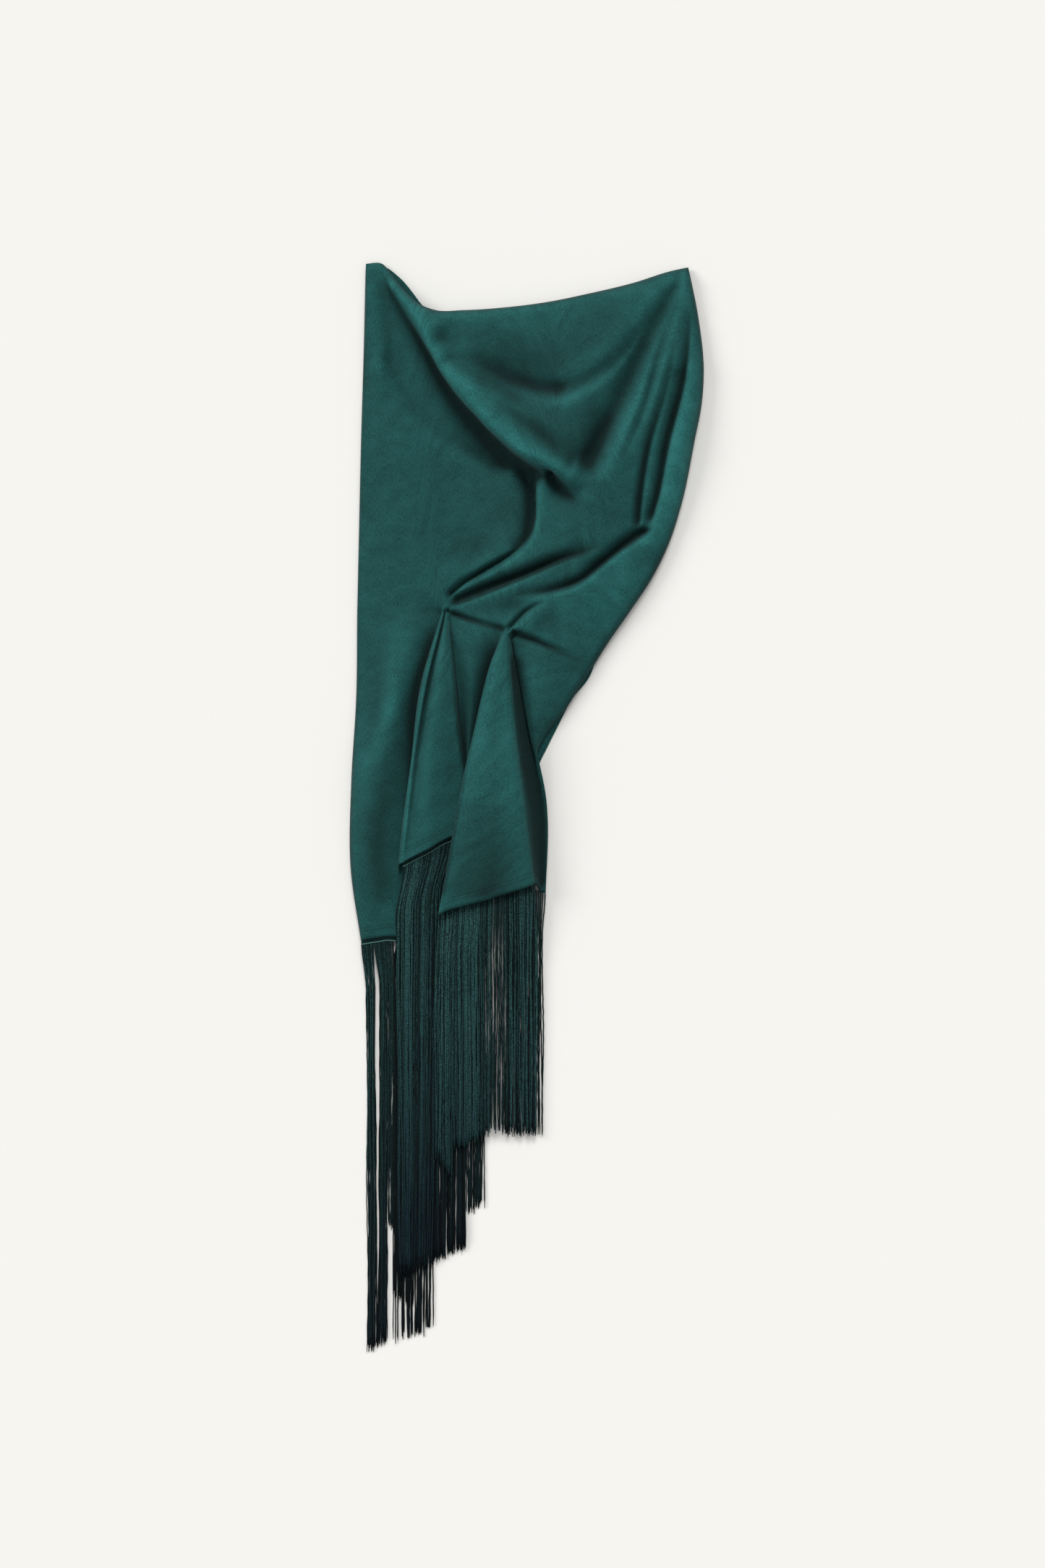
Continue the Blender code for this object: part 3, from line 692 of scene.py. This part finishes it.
def back_leaf_object():
    shape = bmesh.new()
    outline = smooth_outline(BACK_OUTLINE, OUTLINE_POINTS)
    corners = [shape.verts.new((x, y, 0)) for x, y in outline]
    base = shape.faces.new(corners)
    top = raised(shape, base, PLY)
    rims = list(top.edges)
    bmesh.ops.inset_region(shape, faces=[top], thickness=PLY_STEP, use_even_offset=True)
    top = max(shape.faces, key=lambda face: (round(face.calc_center_median().z, 6), face.calc_area()))
    upper = raised(shape, top, PLY)
    shape.faces.remove(top)
    rims += list(upper.edges)
    bmesh.ops.bevel(
        shape, geom=rims, offset=PLY_ROUND, offset_type="OFFSET", segments=2, profile=0.5,
        affect="EDGES", material=-1,
    )
    bmesh.ops.recalc_face_normals(shape, faces=shape.faces)
    return placed("back_leaf_cloth", finished_mesh("back_leaf_cloth", shape))


back_leaf = back_leaf_object()
print("back leaf faces:", len(back_leaf.data.polygons))

# %% [markdown]
# ## The tapes under the hems
#
# The fringe hangs from a tape sewn behind the hem. On the left and middle panels the
# hem lifts a little, and the tape shows under it as a dark band, ended by a thin pale
# cord. The tape is painted darker than the wool, for the shade under the hem. The band
# is a ribbon along the hem's own line, and the cord is a fine tube. Low and high are
# shares of the leaf's width, and shown and under are millimetres below and above the hem.

# %% Hem lines and tapes
Tape = namedtuple("Tape", "name low high shown under")
TAPES = (
    Tape("tape_left", 0.0, 0.165, 4.5, 2.0),
    Tape("tape_middle", 0.255, 0.43, 4.5, 2.0),
    Tape("tape_front", 0.585, 0.745, 0.6, 3.0),
)
TAPE_WALL = 0.9 * MM
TAPE_DROP = 1.3
TAPE_SAG = (0.1, 0.0, 0.15, 0.5, 0.9)
TAPE_POINTS = 60
HEM_SAMPLES = 300
CORD_RADIUS = 0.55
CORD_LIFT = 0.4


def hem_line(low, high, count):
    """Places along the hem, between two shares of the leaf's width."""
    hem = pleat_net(np.linspace(low, high, HEM_SAMPLES))[:, -1]
    return smooth_along(hem, np.linspace(0, 1, count))


def tape_object(row):
    line = hem_line(row.low, row.high, TAPE_POINTS)
    steps = np.array([-row.under, -0.5, 1.2, row.shown * 0.6, row.shown])
    lowered = np.array(TAPE_SAG) + TAPE_DROP
    net = np.repeat(line[None], len(steps), axis=0)
    net[:, :, 1] -= steps[:, None]
    net[:, :, 2] -= lowered[:, None]
    return cloth_object(row.name, net, TAPE_WALL, np.zeros(net.shape[:2]))


def cord_object(row):
    line = hem_line(row.low, row.high, TAPE_POINTS) - (0, row.shown, TAPE_DROP - CORD_LIFT)
    curve = bpy.data.curves.new(row.name + "_cord", "CURVE")
    curve.dimensions = "3D"
    curve.bevel_depth = CORD_RADIUS * MM
    curve.bevel_resolution = 2
    spline = curve.splines.new("POLY")
    spline.points.add(len(line) - 1)
    for point, place in zip(spline.points, line):
        point.co = (*(place * MM), 1)
    return placed(row.name + "_cord", curve)


tapes = {row.name: tape_object(row) for row in TAPES}
cords = {row.name: cord_object(row) for row in TAPES[:2]}
print("tapes:", sorted(tapes), "cords:", sorted(cords))

# %% [markdown]
# ## The fringe
#
# Each yarn of the fringe is a thin tube: a cone primitive cut into short lengths. One
# such yarn is joined into a mesh as often as it is needed, and then all the yarns of a
# fringe are bent into place in one step. Hair curves could stand for them too, but each
# yarn needs its own path, level and tint here, and a mesh takes all three at once.

# %% One yarn
YARN_SIDES = 4
YARN_CUTS = 38


def one_yarn():
    shape = bmesh.new()
    bmesh.ops.create_cone(
        shape, cap_ends=True, cap_tris=False, segments=YARN_SIDES, radius1=1, radius2=1, depth=1
    )
    long_edges = [
        edge for edge in shape.edges if abs(edge.verts[0].co.z - edge.verts[1].co.z) > 0.5
    ]
    bmesh.ops.subdivide_edges(shape, edges=long_edges, cuts=YARN_CUTS, use_grid_fill=True)
    bmesh.ops.translate(shape, verts=shape.verts, vec=(0, 0, 0.5))
    return finished_mesh("one_yarn", shape)


yarn = one_yarn()
yarn_shape = np.array([vertex.co for vertex in yarn.vertices])
print("one yarn:", len(yarn.vertices), "vertices")

# %% [markdown]
# ## Locks of yarn
#
# The yarns hang in locks, a few that lean together, with slits of floor between them.
# Each lock starts on a stretch of the hem and has its left and right side below it, where
# the ends lie, how many yarns it has, how high it lies on the others, and how pale it is.
# That paleness is partly painted shade: locks that lie under others are mostly darker.
# A fringe starts on a stretch of the front leaf's hem, or else on a line of three places.
# Its drop is the way down from the hem in which a yarn comes to its level, and below is
# how far under the hem's line it starts.

# %% Places of the locks
Lock = namedtuple("Lock", "hem left right end_left end_right count level tone")
Fringe = namedtuple("Fringe", "name node tape locks drop below")
FRINGES = (
    Fringe("fringe_back_yarns", "fringe_back", ((-134, -130, 1.6), (-90, -112, 1.6), (-45, -96, 1.6)), (
        Lock((0.00, 0.14), -139, -124, (-139, -562), (-125, -555), 9, 1.2, 0.20),
        Lock((0.14, 0.45), -125, -99, (-125, -556), (-98, -546), 34, 1.2, 0.15),
        Lock((0.00, 0.30), -138, -116, (-139, -511), (-117, -526), 30, 2.2, 0.05),
        Lock((0.40, 0.72), -99, -64, (-99, -475), (-64, -462), 44, 1.2, 0.25),
        Lock((0.70, 1.00), -66, -44, (-65, -428), (-44, -415), 30, 1.2, 0.20),
    ), 30, 0.0),
    Fringe("fringe_left_yarns", "fringe_left", (0.0, 0.14), (
        Lock((0.00, 0.36), -167.6, -159, (-166.5, -571), (-156.5, -566), 14, 1.2, 0.15),
        Lock((0.02, 0.38), -167.4, -159.4, (-166, -566), (-157, -562), 9, 2.3, 0.55),
        Lock((0.40, 0.80), -153, -145, (-156, -565), (-146, -562), 14, 1.2, 0.15),
        Lock((0.42, 0.80), -152.6, -145.4, (-153, -560), (-147, -558), 8, 2.3, 0.45),
        Lock((0.70, 1.00), -145.5, -138, (-145, -437), (-139, -441), 12, 1.8, 0.25),
    ), 50, 3.0),
    Fringe("fringe_middle_yarns", "fringe_middle", (0.262, 0.43), (
        Lock((0.0, 0.68), -136.5, -92, (-134, -495), (-98, -481), 60, 3.2, 0.12),
        Lock((0.01, 0.67), -136.8, -92, (-134, -486), (-99, -479), 54, 4.8, 1.00),
        Lock((0.62, 1.0), -97, -64, (-98, -475), (-63, -462), 40, 2.8, 0.10),
        Lock((0.66, 1.0), -96, -64, (-97, -472), (-64, -459), 18, 3.8, 0.45),
    ), 60, 3.0),
    Fringe("fringe_front_yarns", "fringe_front", (0.585, 0.755), (
        Lock((0.00, 0.42), -94, -51, (-95, -362), (-52, -350), 56, 5.4, 0.10),
        Lock((0.00, 0.20), -95, -77, (-96, -362), (-77, -391), 28, 7.2, 1.00),
        Lock((0.18, 0.43), -77, -51, (-76, -359), (-51, -348), 38, 7.2, 0.95),
        Lock((0.41, 0.56), -51, -36, (-50, -345), (-36, -338), 22, 6.6, 0.55),
        Lock((0.57, 0.68), -35, -22, (-35, -338), (-23, -341), 12, 6.4, 0.30),
        Lock((0.67, 1.00), -22, 11, (-23, -342), (11, -343), 44, 5.4, 0.12),
        Lock((0.67, 1.00), -22, 11, (-22, -340), (11.5, -341), 32, 6.8, 0.80),
    ), 60, -1.5),
    Fringe("fringe_right_yarns", "fringe_right", ((10, -87, 4.0), (16, -89, 4.0), (20, -91, 4.0)), (
        Lock((0.0, 1.0), 10, 17.5, (10.5, -343), (18, -344), 7, 1.4, 0.35),
    ), 40, 0.0),
)
print("yarns in the locks:", sum(lock.count for row in FRINGES for lock in row.locks))

# %% [markdown]
# ## How a yarn falls
#
# A yarn leaves the hem, comes down to its level on the floor, and runs to its end. Every
# few yarns pull together, all sway a little, and a fine ripple stands for the twist. The
# random numbers start from a fixed seed, so the fringe is the same each time.

# %% Paths of the yarns
ROOT_POINTS = 200
ROOT_DROP = 1.5
ROOT_SCATTER = 0.45
STEP_SPREAD = 1.25
UNEVEN = 4.5
UNEVEN_SHARE = 0.6
SWAY = 0.7
SWAY_LENGTHS = (24, 60)
RIPPLE = 0.22
RIPPLE_LENGTHS = (2.4, 4.5)
WAVE_START = 60
CLUMP = 4
CLUMP_PULL = 0.45
FLIGHT = 1.8
LEVEL_SCATTER = 0.35


def root_places(row, share):
    """Where the yarns of a fringe start, for each share of its hem."""
    if len(row.tape) > 2:
        return smooth_along(row.tape, share)
    line = hem_line(*row.tape, ROOT_POINTS)
    places = smooth_along(line, share)
    places[:, 1] -= row.below
    places[:, 2] -= ROOT_DROP
    return places


def yarn_paths(row, lock, rng):
    """Rows of points down each yarn of a lock, in millimetres."""
    order = np.arange(lock.count) + rng.uniform(-ROOT_SCATTER, ROOT_SCATTER, lock.count)
    share = np.clip((order + 0.5) / lock.count, 0, 1)[:, None]
    clump = (np.floor(order / CLUMP) + 0.5) * CLUMP / lock.count
    gathered = np.clip(share + CLUMP_PULL * (clump[:, None] - share), 0, 1)
    roots = root_places(row, lock.hem[0] + (lock.hem[1] - lock.hem[0]) * share[:, 0])
    down = np.linspace(0, 1, YARN_CUTS + 2)[None, :] ** STEP_SPREAD
    upper_x = lock.left + (lock.right - lock.left) * share
    end_x = lock.end_left[0] + (lock.end_right[0] - lock.end_left[0]) * gathered
    end_y = lock.end_left[1] + (lock.end_right[1] - lock.end_left[1]) * share
    end_y = end_y + UNEVEN * rng.normal(0, UNEVEN_SHARE, share.shape)
    y = roots[:, 1:2] + (end_y - roots[:, 1:2]) * down
    fallen = roots[:, 1:2] - y
    settled = ease(fallen / row.drop)
    x = roots[:, 0:1] + (upper_x - roots[:, 0:1]) * settled + (end_x - upper_x) * down
    phase = rng.uniform(0, 6.3, share.shape)
    sway = SWAY * np.sin(fallen / rng.uniform(*SWAY_LENGTHS, share.shape) + phase)
    ripple = RIPPLE * np.sin(fallen / rng.uniform(*RIPPLE_LENGTHS, share.shape) + 3 * phase)
    x = x + (sway + ripple) * ease(fallen / WAVE_START)
    flight = ease(fallen / (row.drop * FLIGHT))
    level = lock.level + rng.uniform(-LEVEL_SCATTER, LEVEL_SCATTER, share.shape)
    z = roots[:, 2:3] + (level - roots[:, 2:3]) * flight
    return np.stack([x, y, z], axis=2)


# %% [markdown]
# ## Copies of the yarn, bent into place
#
# The rings of each copy are moved onto its path. Two attributes go with them for the
# material: a tint for each yarn, with the painted shade of its lock in it, and how far
# down the fringe a place is.

# %% Fringe pieces
YARN_RADIUS = 0.62
YARN_SIZES = (0.8, 1.15)
YARN_TAPER = 0.35
TINTS = (0.0, 1.5)
FRINGE_LENGTH = 400
SEED = 7


def fringe_object(row):
    rng = np.random.default_rng(len(row.name) + SEED)
    paths = np.concatenate([yarn_paths(row, lock, rng) for lock in row.locks])
    # A lock's paleness is partly painted shade: locks lying under others are darker.
    tones = np.concatenate([np.full(lock.count, lock.tone) for lock in row.locks])
    tones = np.clip(tones * rng.uniform(*TINTS, len(paths)), 0, 1)
    shape = bmesh.new()
    for _ in paths:
        shape.from_mesh(yarn)
    mesh = finished_mesh(row.name, shape)
    ring = np.rint(yarn_shape[:, 2] * (YARN_CUTS + 1)).astype(int)
    centres = paths[:, ring]
    thickness = YARN_RADIUS * rng.uniform(*YARN_SIZES, (len(paths), 1))
    taper = thickness * (1 - YARN_TAPER * (ring[None, :] == YARN_CUTS + 1))
    places = centres.copy()
    places[:, :, 0] += yarn_shape[None, :, 0] * taper
    places[:, :, 2] += yarn_shape[None, :, 1] * taper
    mesh.vertices.foreach_set("co", (places * MM).ravel())
    tint = mesh.attributes.new("yarn_tint", "FLOAT", "POINT")
    tint.data.foreach_set("value", np.repeat(tones, len(ring)))
    along = mesh.attributes.new("yarn_along", "FLOAT", "POINT")
    fallen = (paths[:, :1, 1] - centres[:, :, 1]) / FRINGE_LENGTH
    along.data.foreach_set("value", np.clip(fallen, 0, 1).ravel())
    shape = bmesh.new()
    shape.from_mesh(mesh)
    bmesh.ops.recalc_face_normals(shape, faces=shape.faces)
    shape.to_mesh(mesh)
    shape.free()
    mesh.shade_smooth()
    print(row.name, "yarns:", len(paths), "faces:", len(mesh.polygons))
    return placed(row.name, mesh)


fringes = {row.name: fringe_object(row) for row in FRINGES}
bpy.data.meshes.remove(yarn)

# %% [markdown]
# ## The wool
#
# Flannel is woven, then brushed until short fibres cover the weave. What the eye sees is
# a speckle of lighter and darker fibre ends, a faint warp, and a pale bloom where the
# nap is seen edge on. One node group gives the speckle and the fine relief, and each
# material keeps its own shader, with the bloom as sheen.

# %% Node group for brushed wool
def add_node(tree, kind, **values):
    node = tree.nodes.new(kind)
    for name, value in values.items():
        setattr(node, name, value)
    return node


def math_node(tree, operation, first, second):
    node = add_node(tree, "ShaderNodeMath", operation=operation)
    for socket, value in zip(node.inputs, (first, second)):
        if isinstance(value, (int, float)):
            socket.default_value = value
        else:
            tree.links.new(value, socket)
    return node.outputs[0]


def noise_node(tree, vector, scale, detail, roughness):
    node = add_node(tree, "ShaderNodeTexNoise")
    node.inputs["Scale"].default_value = scale
    node.inputs["Detail"].default_value = detail
    node.inputs["Roughness"].default_value = roughness
    tree.links.new(vector, node.inputs["Vector"])
    return node.outputs["Fac"]


def mixed(tree, share, first, second):
    """A colour between two others. A colour mix keeps them in its sockets 6 and 7."""
    node = add_node(tree, "ShaderNodeMix", data_type="RGBA")
    sockets = (node.inputs[0], node.inputs[6], node.inputs[7])
    for socket, value in zip(sockets, (share, first, second)):
        if isinstance(value, (int, float, tuple)):
            socket.default_value = value
        else:
            tree.links.new(value, socket)
    return node.outputs[2]


def ranged(tree, value, reach, result, interpolation="LINEAR"):
    """A value stretched from one range to another and kept inside it."""
    node = add_node(tree, "ShaderNodeMapRange", interpolation_type=interpolation)
    names = ("From Min", "From Max", "To Min", "To Max")
    for name, number in zip(names, (*reach, *result)):
        node.inputs[name].default_value = number
    tree.links.new(value, node.inputs["Value"])
    return node.outputs[0]


def scaled(tree, colour, value):
    node = add_node(tree, "ShaderNodeVectorMath", operation="SCALE")
    tree.links.new(colour, node.inputs[0])
    tree.links.new(value, node.inputs["Scale"])
    return node.outputs[0]


def bumped(tree, shader, height, strength):
    """A fine relief on the shader's normal, 0.4 mm deep at full strength."""
    node = add_node(tree, "ShaderNodeBump")
    node.inputs["Strength"].default_value = strength
    node.inputs["Distance"].default_value = 0.0004
    tree.links.new(height, node.inputs["Height"])
    tree.links.new(node.outputs["Normal"], shader.inputs["Normal"])


def brushed_wool_group():
    group = bpy.data.node_groups.new("brushed_wool", "ShaderNodeTree")
    face = group.interface
    face.new_socket("Cloth Map", in_out="INPUT", socket_type="NodeSocketVector")
    face.new_socket("Deep", in_out="INPUT", socket_type="NodeSocketColor")
    face.new_socket("Pale", in_out="INPUT", socket_type="NodeSocketColor")
    face.new_socket("Color", in_out="OUTPUT", socket_type="NodeSocketColor")
    face.new_socket("Relief", in_out="OUTPUT", socket_type="NodeSocketFloat")
    start = add_node(group, "NodeGroupInput")
    end = add_node(group, "NodeGroupOutput")
    place = start.outputs["Cloth Map"]
    speckle = noise_node(group, place, 950, 3, 0.6)
    patches = noise_node(group, place, 60, 3, 0.55)
    clouds = noise_node(group, place, 9, 2, 0.5)
    stretched = add_node(group, "ShaderNodeMapping")
    stretched.inputs["Scale"].default_value = (1300, 260, 500)
    group.links.new(place, stretched.inputs["Vector"])
    warp = noise_node(group, stretched.outputs["Vector"], 1, 2, 0.5)
    total = math_node(group, "MULTIPLY", speckle, 1.5)
    for layer, weight in ((warp, 0.9), (patches, 0.55), (clouds, 0.45)):
        total = math_node(group, "ADD", total, math_node(group, "MULTIPLY", layer, weight))
    share = ranged(group, total, (1.30, 2.10), (0, 1))
    colour = mixed(group, share, start.outputs["Deep"], start.outputs["Pale"])
    group.links.new(colour, end.inputs["Color"])
    relief = math_node(group, "ADD", speckle, math_node(group, "MULTIPLY", warp, 0.7))
    group.links.new(relief, end.inputs["Relief"])
    return group


wool = brushed_wool_group()
print("wool group sockets:", [item.name for item in wool.interface.items_tree])

# %% [markdown]
# ## The cloth
#
# The painted shade of the folds scales the wool's own colour: up on crests, down in troughs.
# The rows of stitching above the hem are thin darker bands. They could be little threads,
# but at this size only their line shows. The cloth map gives the height above the hem in
# metres, so the bands follow the hem however it turns.

# %% Cloth material
DEEP_TEAL = (0.0022, 0.029, 0.028, 1)
PALE_TEAL = (0.0165, 0.104, 0.099, 1)
# The tape is painted darker than the wool: its own colour with the shade under the hem.
DEEP_SHADED_TAPE = (0.004, 0.018, 0.018, 1)
PALE_SHADED_TAPE = (0.008, 0.030, 0.030, 1)
DEEP_CORD = (0.05, 0.14, 0.13, 1)
PALE_CORD = (0.09, 0.20, 0.19, 1)
CREST_LIGHT = 1.75
TROUGH_LIGHT = 0.22
STITCH_ROWS = (0.0090, 0.0126)
STITCH_WIDTH = 0.0009
STITCH_SHADE = 0.32


def stitch_light(tree, place, light):
    """The light value, lowered along the rows of stitching above the hem."""
    above_hem = add_node(tree, "ShaderNodeSeparateXYZ")
    tree.links.new(place, above_hem.inputs[0])
    for row in STITCH_ROWS:
        away = math_node(tree, "SUBTRACT", above_hem.outputs[1], row)
        away = math_node(tree, "ABSOLUTE", away, 0)
        thread = ranged(tree, away, (0, STITCH_WIDTH), (1 - STITCH_SHADE, 1), "SMOOTHSTEP")
        light = math_node(tree, "MULTIPLY", light, thread)
    return light


def cloth_material(name, deep, pale, use_uv, stitched=False):
    material = bpy.data.materials.new(name)
    material.use_nodes = True
    tree = material.node_tree
    shader = tree.nodes["Principled BSDF"]
    shader.inputs["Roughness"].default_value = 0.92
    shader.inputs["Specular IOR Level"].default_value = 0.2
    shader.inputs["Sheen Weight"].default_value = 0.06
    shader.inputs["Sheen Roughness"].default_value = 0.45
    shader.inputs["Sheen Tint"].default_value = (0.42, 0.75, 0.74, 1)
    if use_uv:
        place = add_node(tree, "ShaderNodeUVMap", uv_map="cloth").outputs["UV"]
    else:
        place = add_node(tree, "ShaderNodeTexCoord").outputs["Object"]
    group = add_node(tree, "ShaderNodeGroup", node_tree=wool)
    group.inputs["Deep"].default_value = deep
    group.inputs["Pale"].default_value = pale
    tree.links.new(place, group.inputs["Cloth Map"])
    # Painted shade and light of the folds: the colour is scaled from CREST_LIGHT to TROUGH_LIGHT.
    shade = add_node(tree, "ShaderNodeAttribute", attribute_name="fold_shade").outputs["Fac"]
    light = ranged(tree, shade, (-1, 1), (CREST_LIGHT, TROUGH_LIGHT))
    if stitched:
        light = stitch_light(tree, place, light)
    toned = scaled(tree, group.outputs["Color"], light)
    tree.links.new(toned, shader.inputs["Base Color"])
    bumped(tree, shader, group.outputs["Relief"], 0.35)
    return material


def dress(piece, material):
    piece.data.materials.clear()
    piece.data.materials.append(material)


dress(front_leaf, cloth_material("leaf_wool", DEEP_TEAL, PALE_TEAL, use_uv=True, stitched=True))
dress(back_leaf, cloth_material("back_wool", DEEP_TEAL, PALE_TEAL, use_uv=False))
# The tape's wool is painted dark for the shade under the hem.
tape_wool = cloth_material("tape_wool", DEEP_SHADED_TAPE, PALE_SHADED_TAPE, use_uv=True)
cord_wool = cloth_material("cord_wool", DEEP_CORD, PALE_CORD, use_uv=False)
for piece in tapes.values():
    dress(piece, tape_wool)
for piece in cords.values():
    dress(piece, cord_wool)
print("cloth materials:", [name for name in bpy.data.materials.keys() if "wool" in name])

# %% [markdown]
# ## The yarn of the fringe
#
# The fringe is twisted from the same wool, but seen against its own shadow it is almost
# black at the ends. Each yarn has its own tint, with the painted shade of its lock in it,
# and it darkens along its length. A fine speckle stands for the turns of the twist: a
# bump, and painted glints in the colour.

# %% Yarn material
YARN_TOP_DARK = (0.0008, 0.0045, 0.0050, 1)
YARN_TOP_PALE = (0.026, 0.086, 0.082, 1)
YARN_END_DARK = (0.0003, 0.0014, 0.0026, 1)
YARN_END_PALE = (0.0060, 0.020, 0.027, 1)


def yarn_material():
    material = bpy.data.materials.new("fringe_yarn")
    material.use_nodes = True
    tree = material.node_tree
    shader = tree.nodes["Principled BSDF"]
    shader.inputs["Roughness"].default_value = 0.85
    shader.inputs["Specular IOR Level"].default_value = 0.12
    shader.inputs["Sheen Weight"].default_value = 0.03
    shader.inputs["Sheen Tint"].default_value = (0.42, 0.72, 0.75, 1)
    tint = add_node(tree, "ShaderNodeAttribute", attribute_name="yarn_tint").outputs["Fac"]
    along = add_node(tree, "ShaderNodeAttribute", attribute_name="yarn_along").outputs["Fac"]
    place = add_node(tree, "ShaderNodeTexCoord").outputs["Object"]
    twist_relief_and_glints = noise_node(tree, place, 760, 3, 0.65)
    # The tint holds each yarn's own tint and the painted shade of the lower locks.
    upper = mixed(tree, tint, YARN_TOP_DARK, YARN_TOP_PALE)
    lower = mixed(tree, tint, YARN_END_DARK, YARN_END_PALE)
    colour = mixed(tree, along, upper, lower)
    # Painted glints: the twist's speckle scales the yarn's colour from 0.3 to 1.75 times.
    lit = scaled(tree, colour, ranged(tree, twist_relief_and_glints, (0.38, 0.64), (0.30, 1.75)))
    tree.links.new(lit, shader.inputs["Base Color"])
    bumped(tree, shader, twist_relief_and_glints, 0.5)
    return material


yarn_wool = yarn_material()
for piece in fringes.values():
    dress(piece, yarn_wool)
print("fringe pieces dressed:", len(fringes))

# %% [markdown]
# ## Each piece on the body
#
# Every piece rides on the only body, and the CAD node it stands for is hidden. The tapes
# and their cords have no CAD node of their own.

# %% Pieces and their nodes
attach(front_leaf, "root")
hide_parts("front_leaf")
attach(back_leaf, "root")
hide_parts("back_leaf")
for piece in list(tapes.values()) + list(cords.values()):
    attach(piece, "root")
for row in FRINGES:
    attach(fringes[row.name], "root")
    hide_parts(row.node)
print("pieces told:", 2 + len(tapes) + len(cords) + len(fringes))

# %% [markdown]
# ## The floor
#
# The scarf lies on a plain pale floor, like a wide sheet of paper. A curved backdrop
# could hide the horizon too, but from straight above the floor fills the whole picture.

# %% Floor
FLOOR_SIZE = 8.0
shape = bmesh.new()
bmesh.ops.create_grid(shape, x_segments=1, y_segments=1, size=FLOOR_SIZE / 2)
floor = placed("floor", finished_mesh("floor", shape))
paper = bpy.data.materials.new("paper")
paper.use_nodes = True
paper_shader = paper.node_tree.nodes["Principled BSDF"]
paper_shader.inputs["Base Color"].default_value = (0.885, 0.876, 0.842, 1)
paper_shader.inputs["Roughness"].default_value = 1
paper_shader.inputs["Specular IOR Level"].default_value = 0
floor.data.materials.append(paper)
print("floor side:", FLOOR_SIZE, "m")

# %% [markdown]
# ## The light
#
# One broad light comes from beyond the top edge and draws out the folds. A second, from
# the left, lights the left flanks and drops a soft shadow to the right. Large area lamps
# could do the same. Wide suns light the whole scarf evenly, wherever they stand. An even
# white sky fills the rest.

# %% Light
SkyLight = namedtuple("SkyLight", "name heading strength spread")
LIGHTS = (
    SkyLight("key", (-0.05, -0.80, -0.55), 2.0, 22),
    SkyLight("side", (0.80, -0.30, -0.45), 1.6, 24),
)
SKY_STRENGTH = 0.45
for row in LIGHTS:
    data = bpy.data.lights.new(row.name, "SUN")
    data.energy = row.strength
    data.angle = math.radians(row.spread)
    lamp = placed(row.name, data)
    lamp.rotation_mode = "QUATERNION"
    lamp.rotation_quaternion = Vector(row.heading).to_track_quat("-Z", "Y")
sky = bpy.data.worlds.new("sky")
sky.use_nodes = True
backdrop = sky.node_tree.nodes["Background"]
backdrop.inputs["Color"].default_value = (1, 1, 1, 1)
backdrop.inputs["Strength"].default_value = SKY_STRENGTH
bpy.context.scene.world = sky
bpy.context.scene.view_settings.view_transform = "Standard"
print("lights:", [row.name for row in LIGHTS])

# %% [markdown]
# ## The camera
#
# The camera hangs straight above, so the scarf keeps the proportions it was measured
# with. Its height comes from the picture's size, the size of one of its pixels on the
# floor and the lens.

# %% Camera
PIXEL = 0.76 * MM
IMAGE_WIDTH = 1445
IMAGE_HEIGHT = 2168
MIDDLE_COLUMN = 727.5
MIDDLE_ROW = 1115.5
LENS = 100
SENSOR = 36
camera_data = bpy.data.cameras.new("camera")
camera_data.lens = LENS
camera_data.sensor_width = SENSOR
camera = placed("camera", camera_data)
camera.location = (
    (IMAGE_WIDTH / 2 - MIDDLE_COLUMN) * PIXEL,
    (MIDDLE_ROW - IMAGE_HEIGHT / 2) * PIXEL,
    IMAGE_HEIGHT * PIXEL * LENS / SENSOR,
)
bpy.context.scene.camera = camera
print("camera height:", round(camera.location.z, 3), "m")
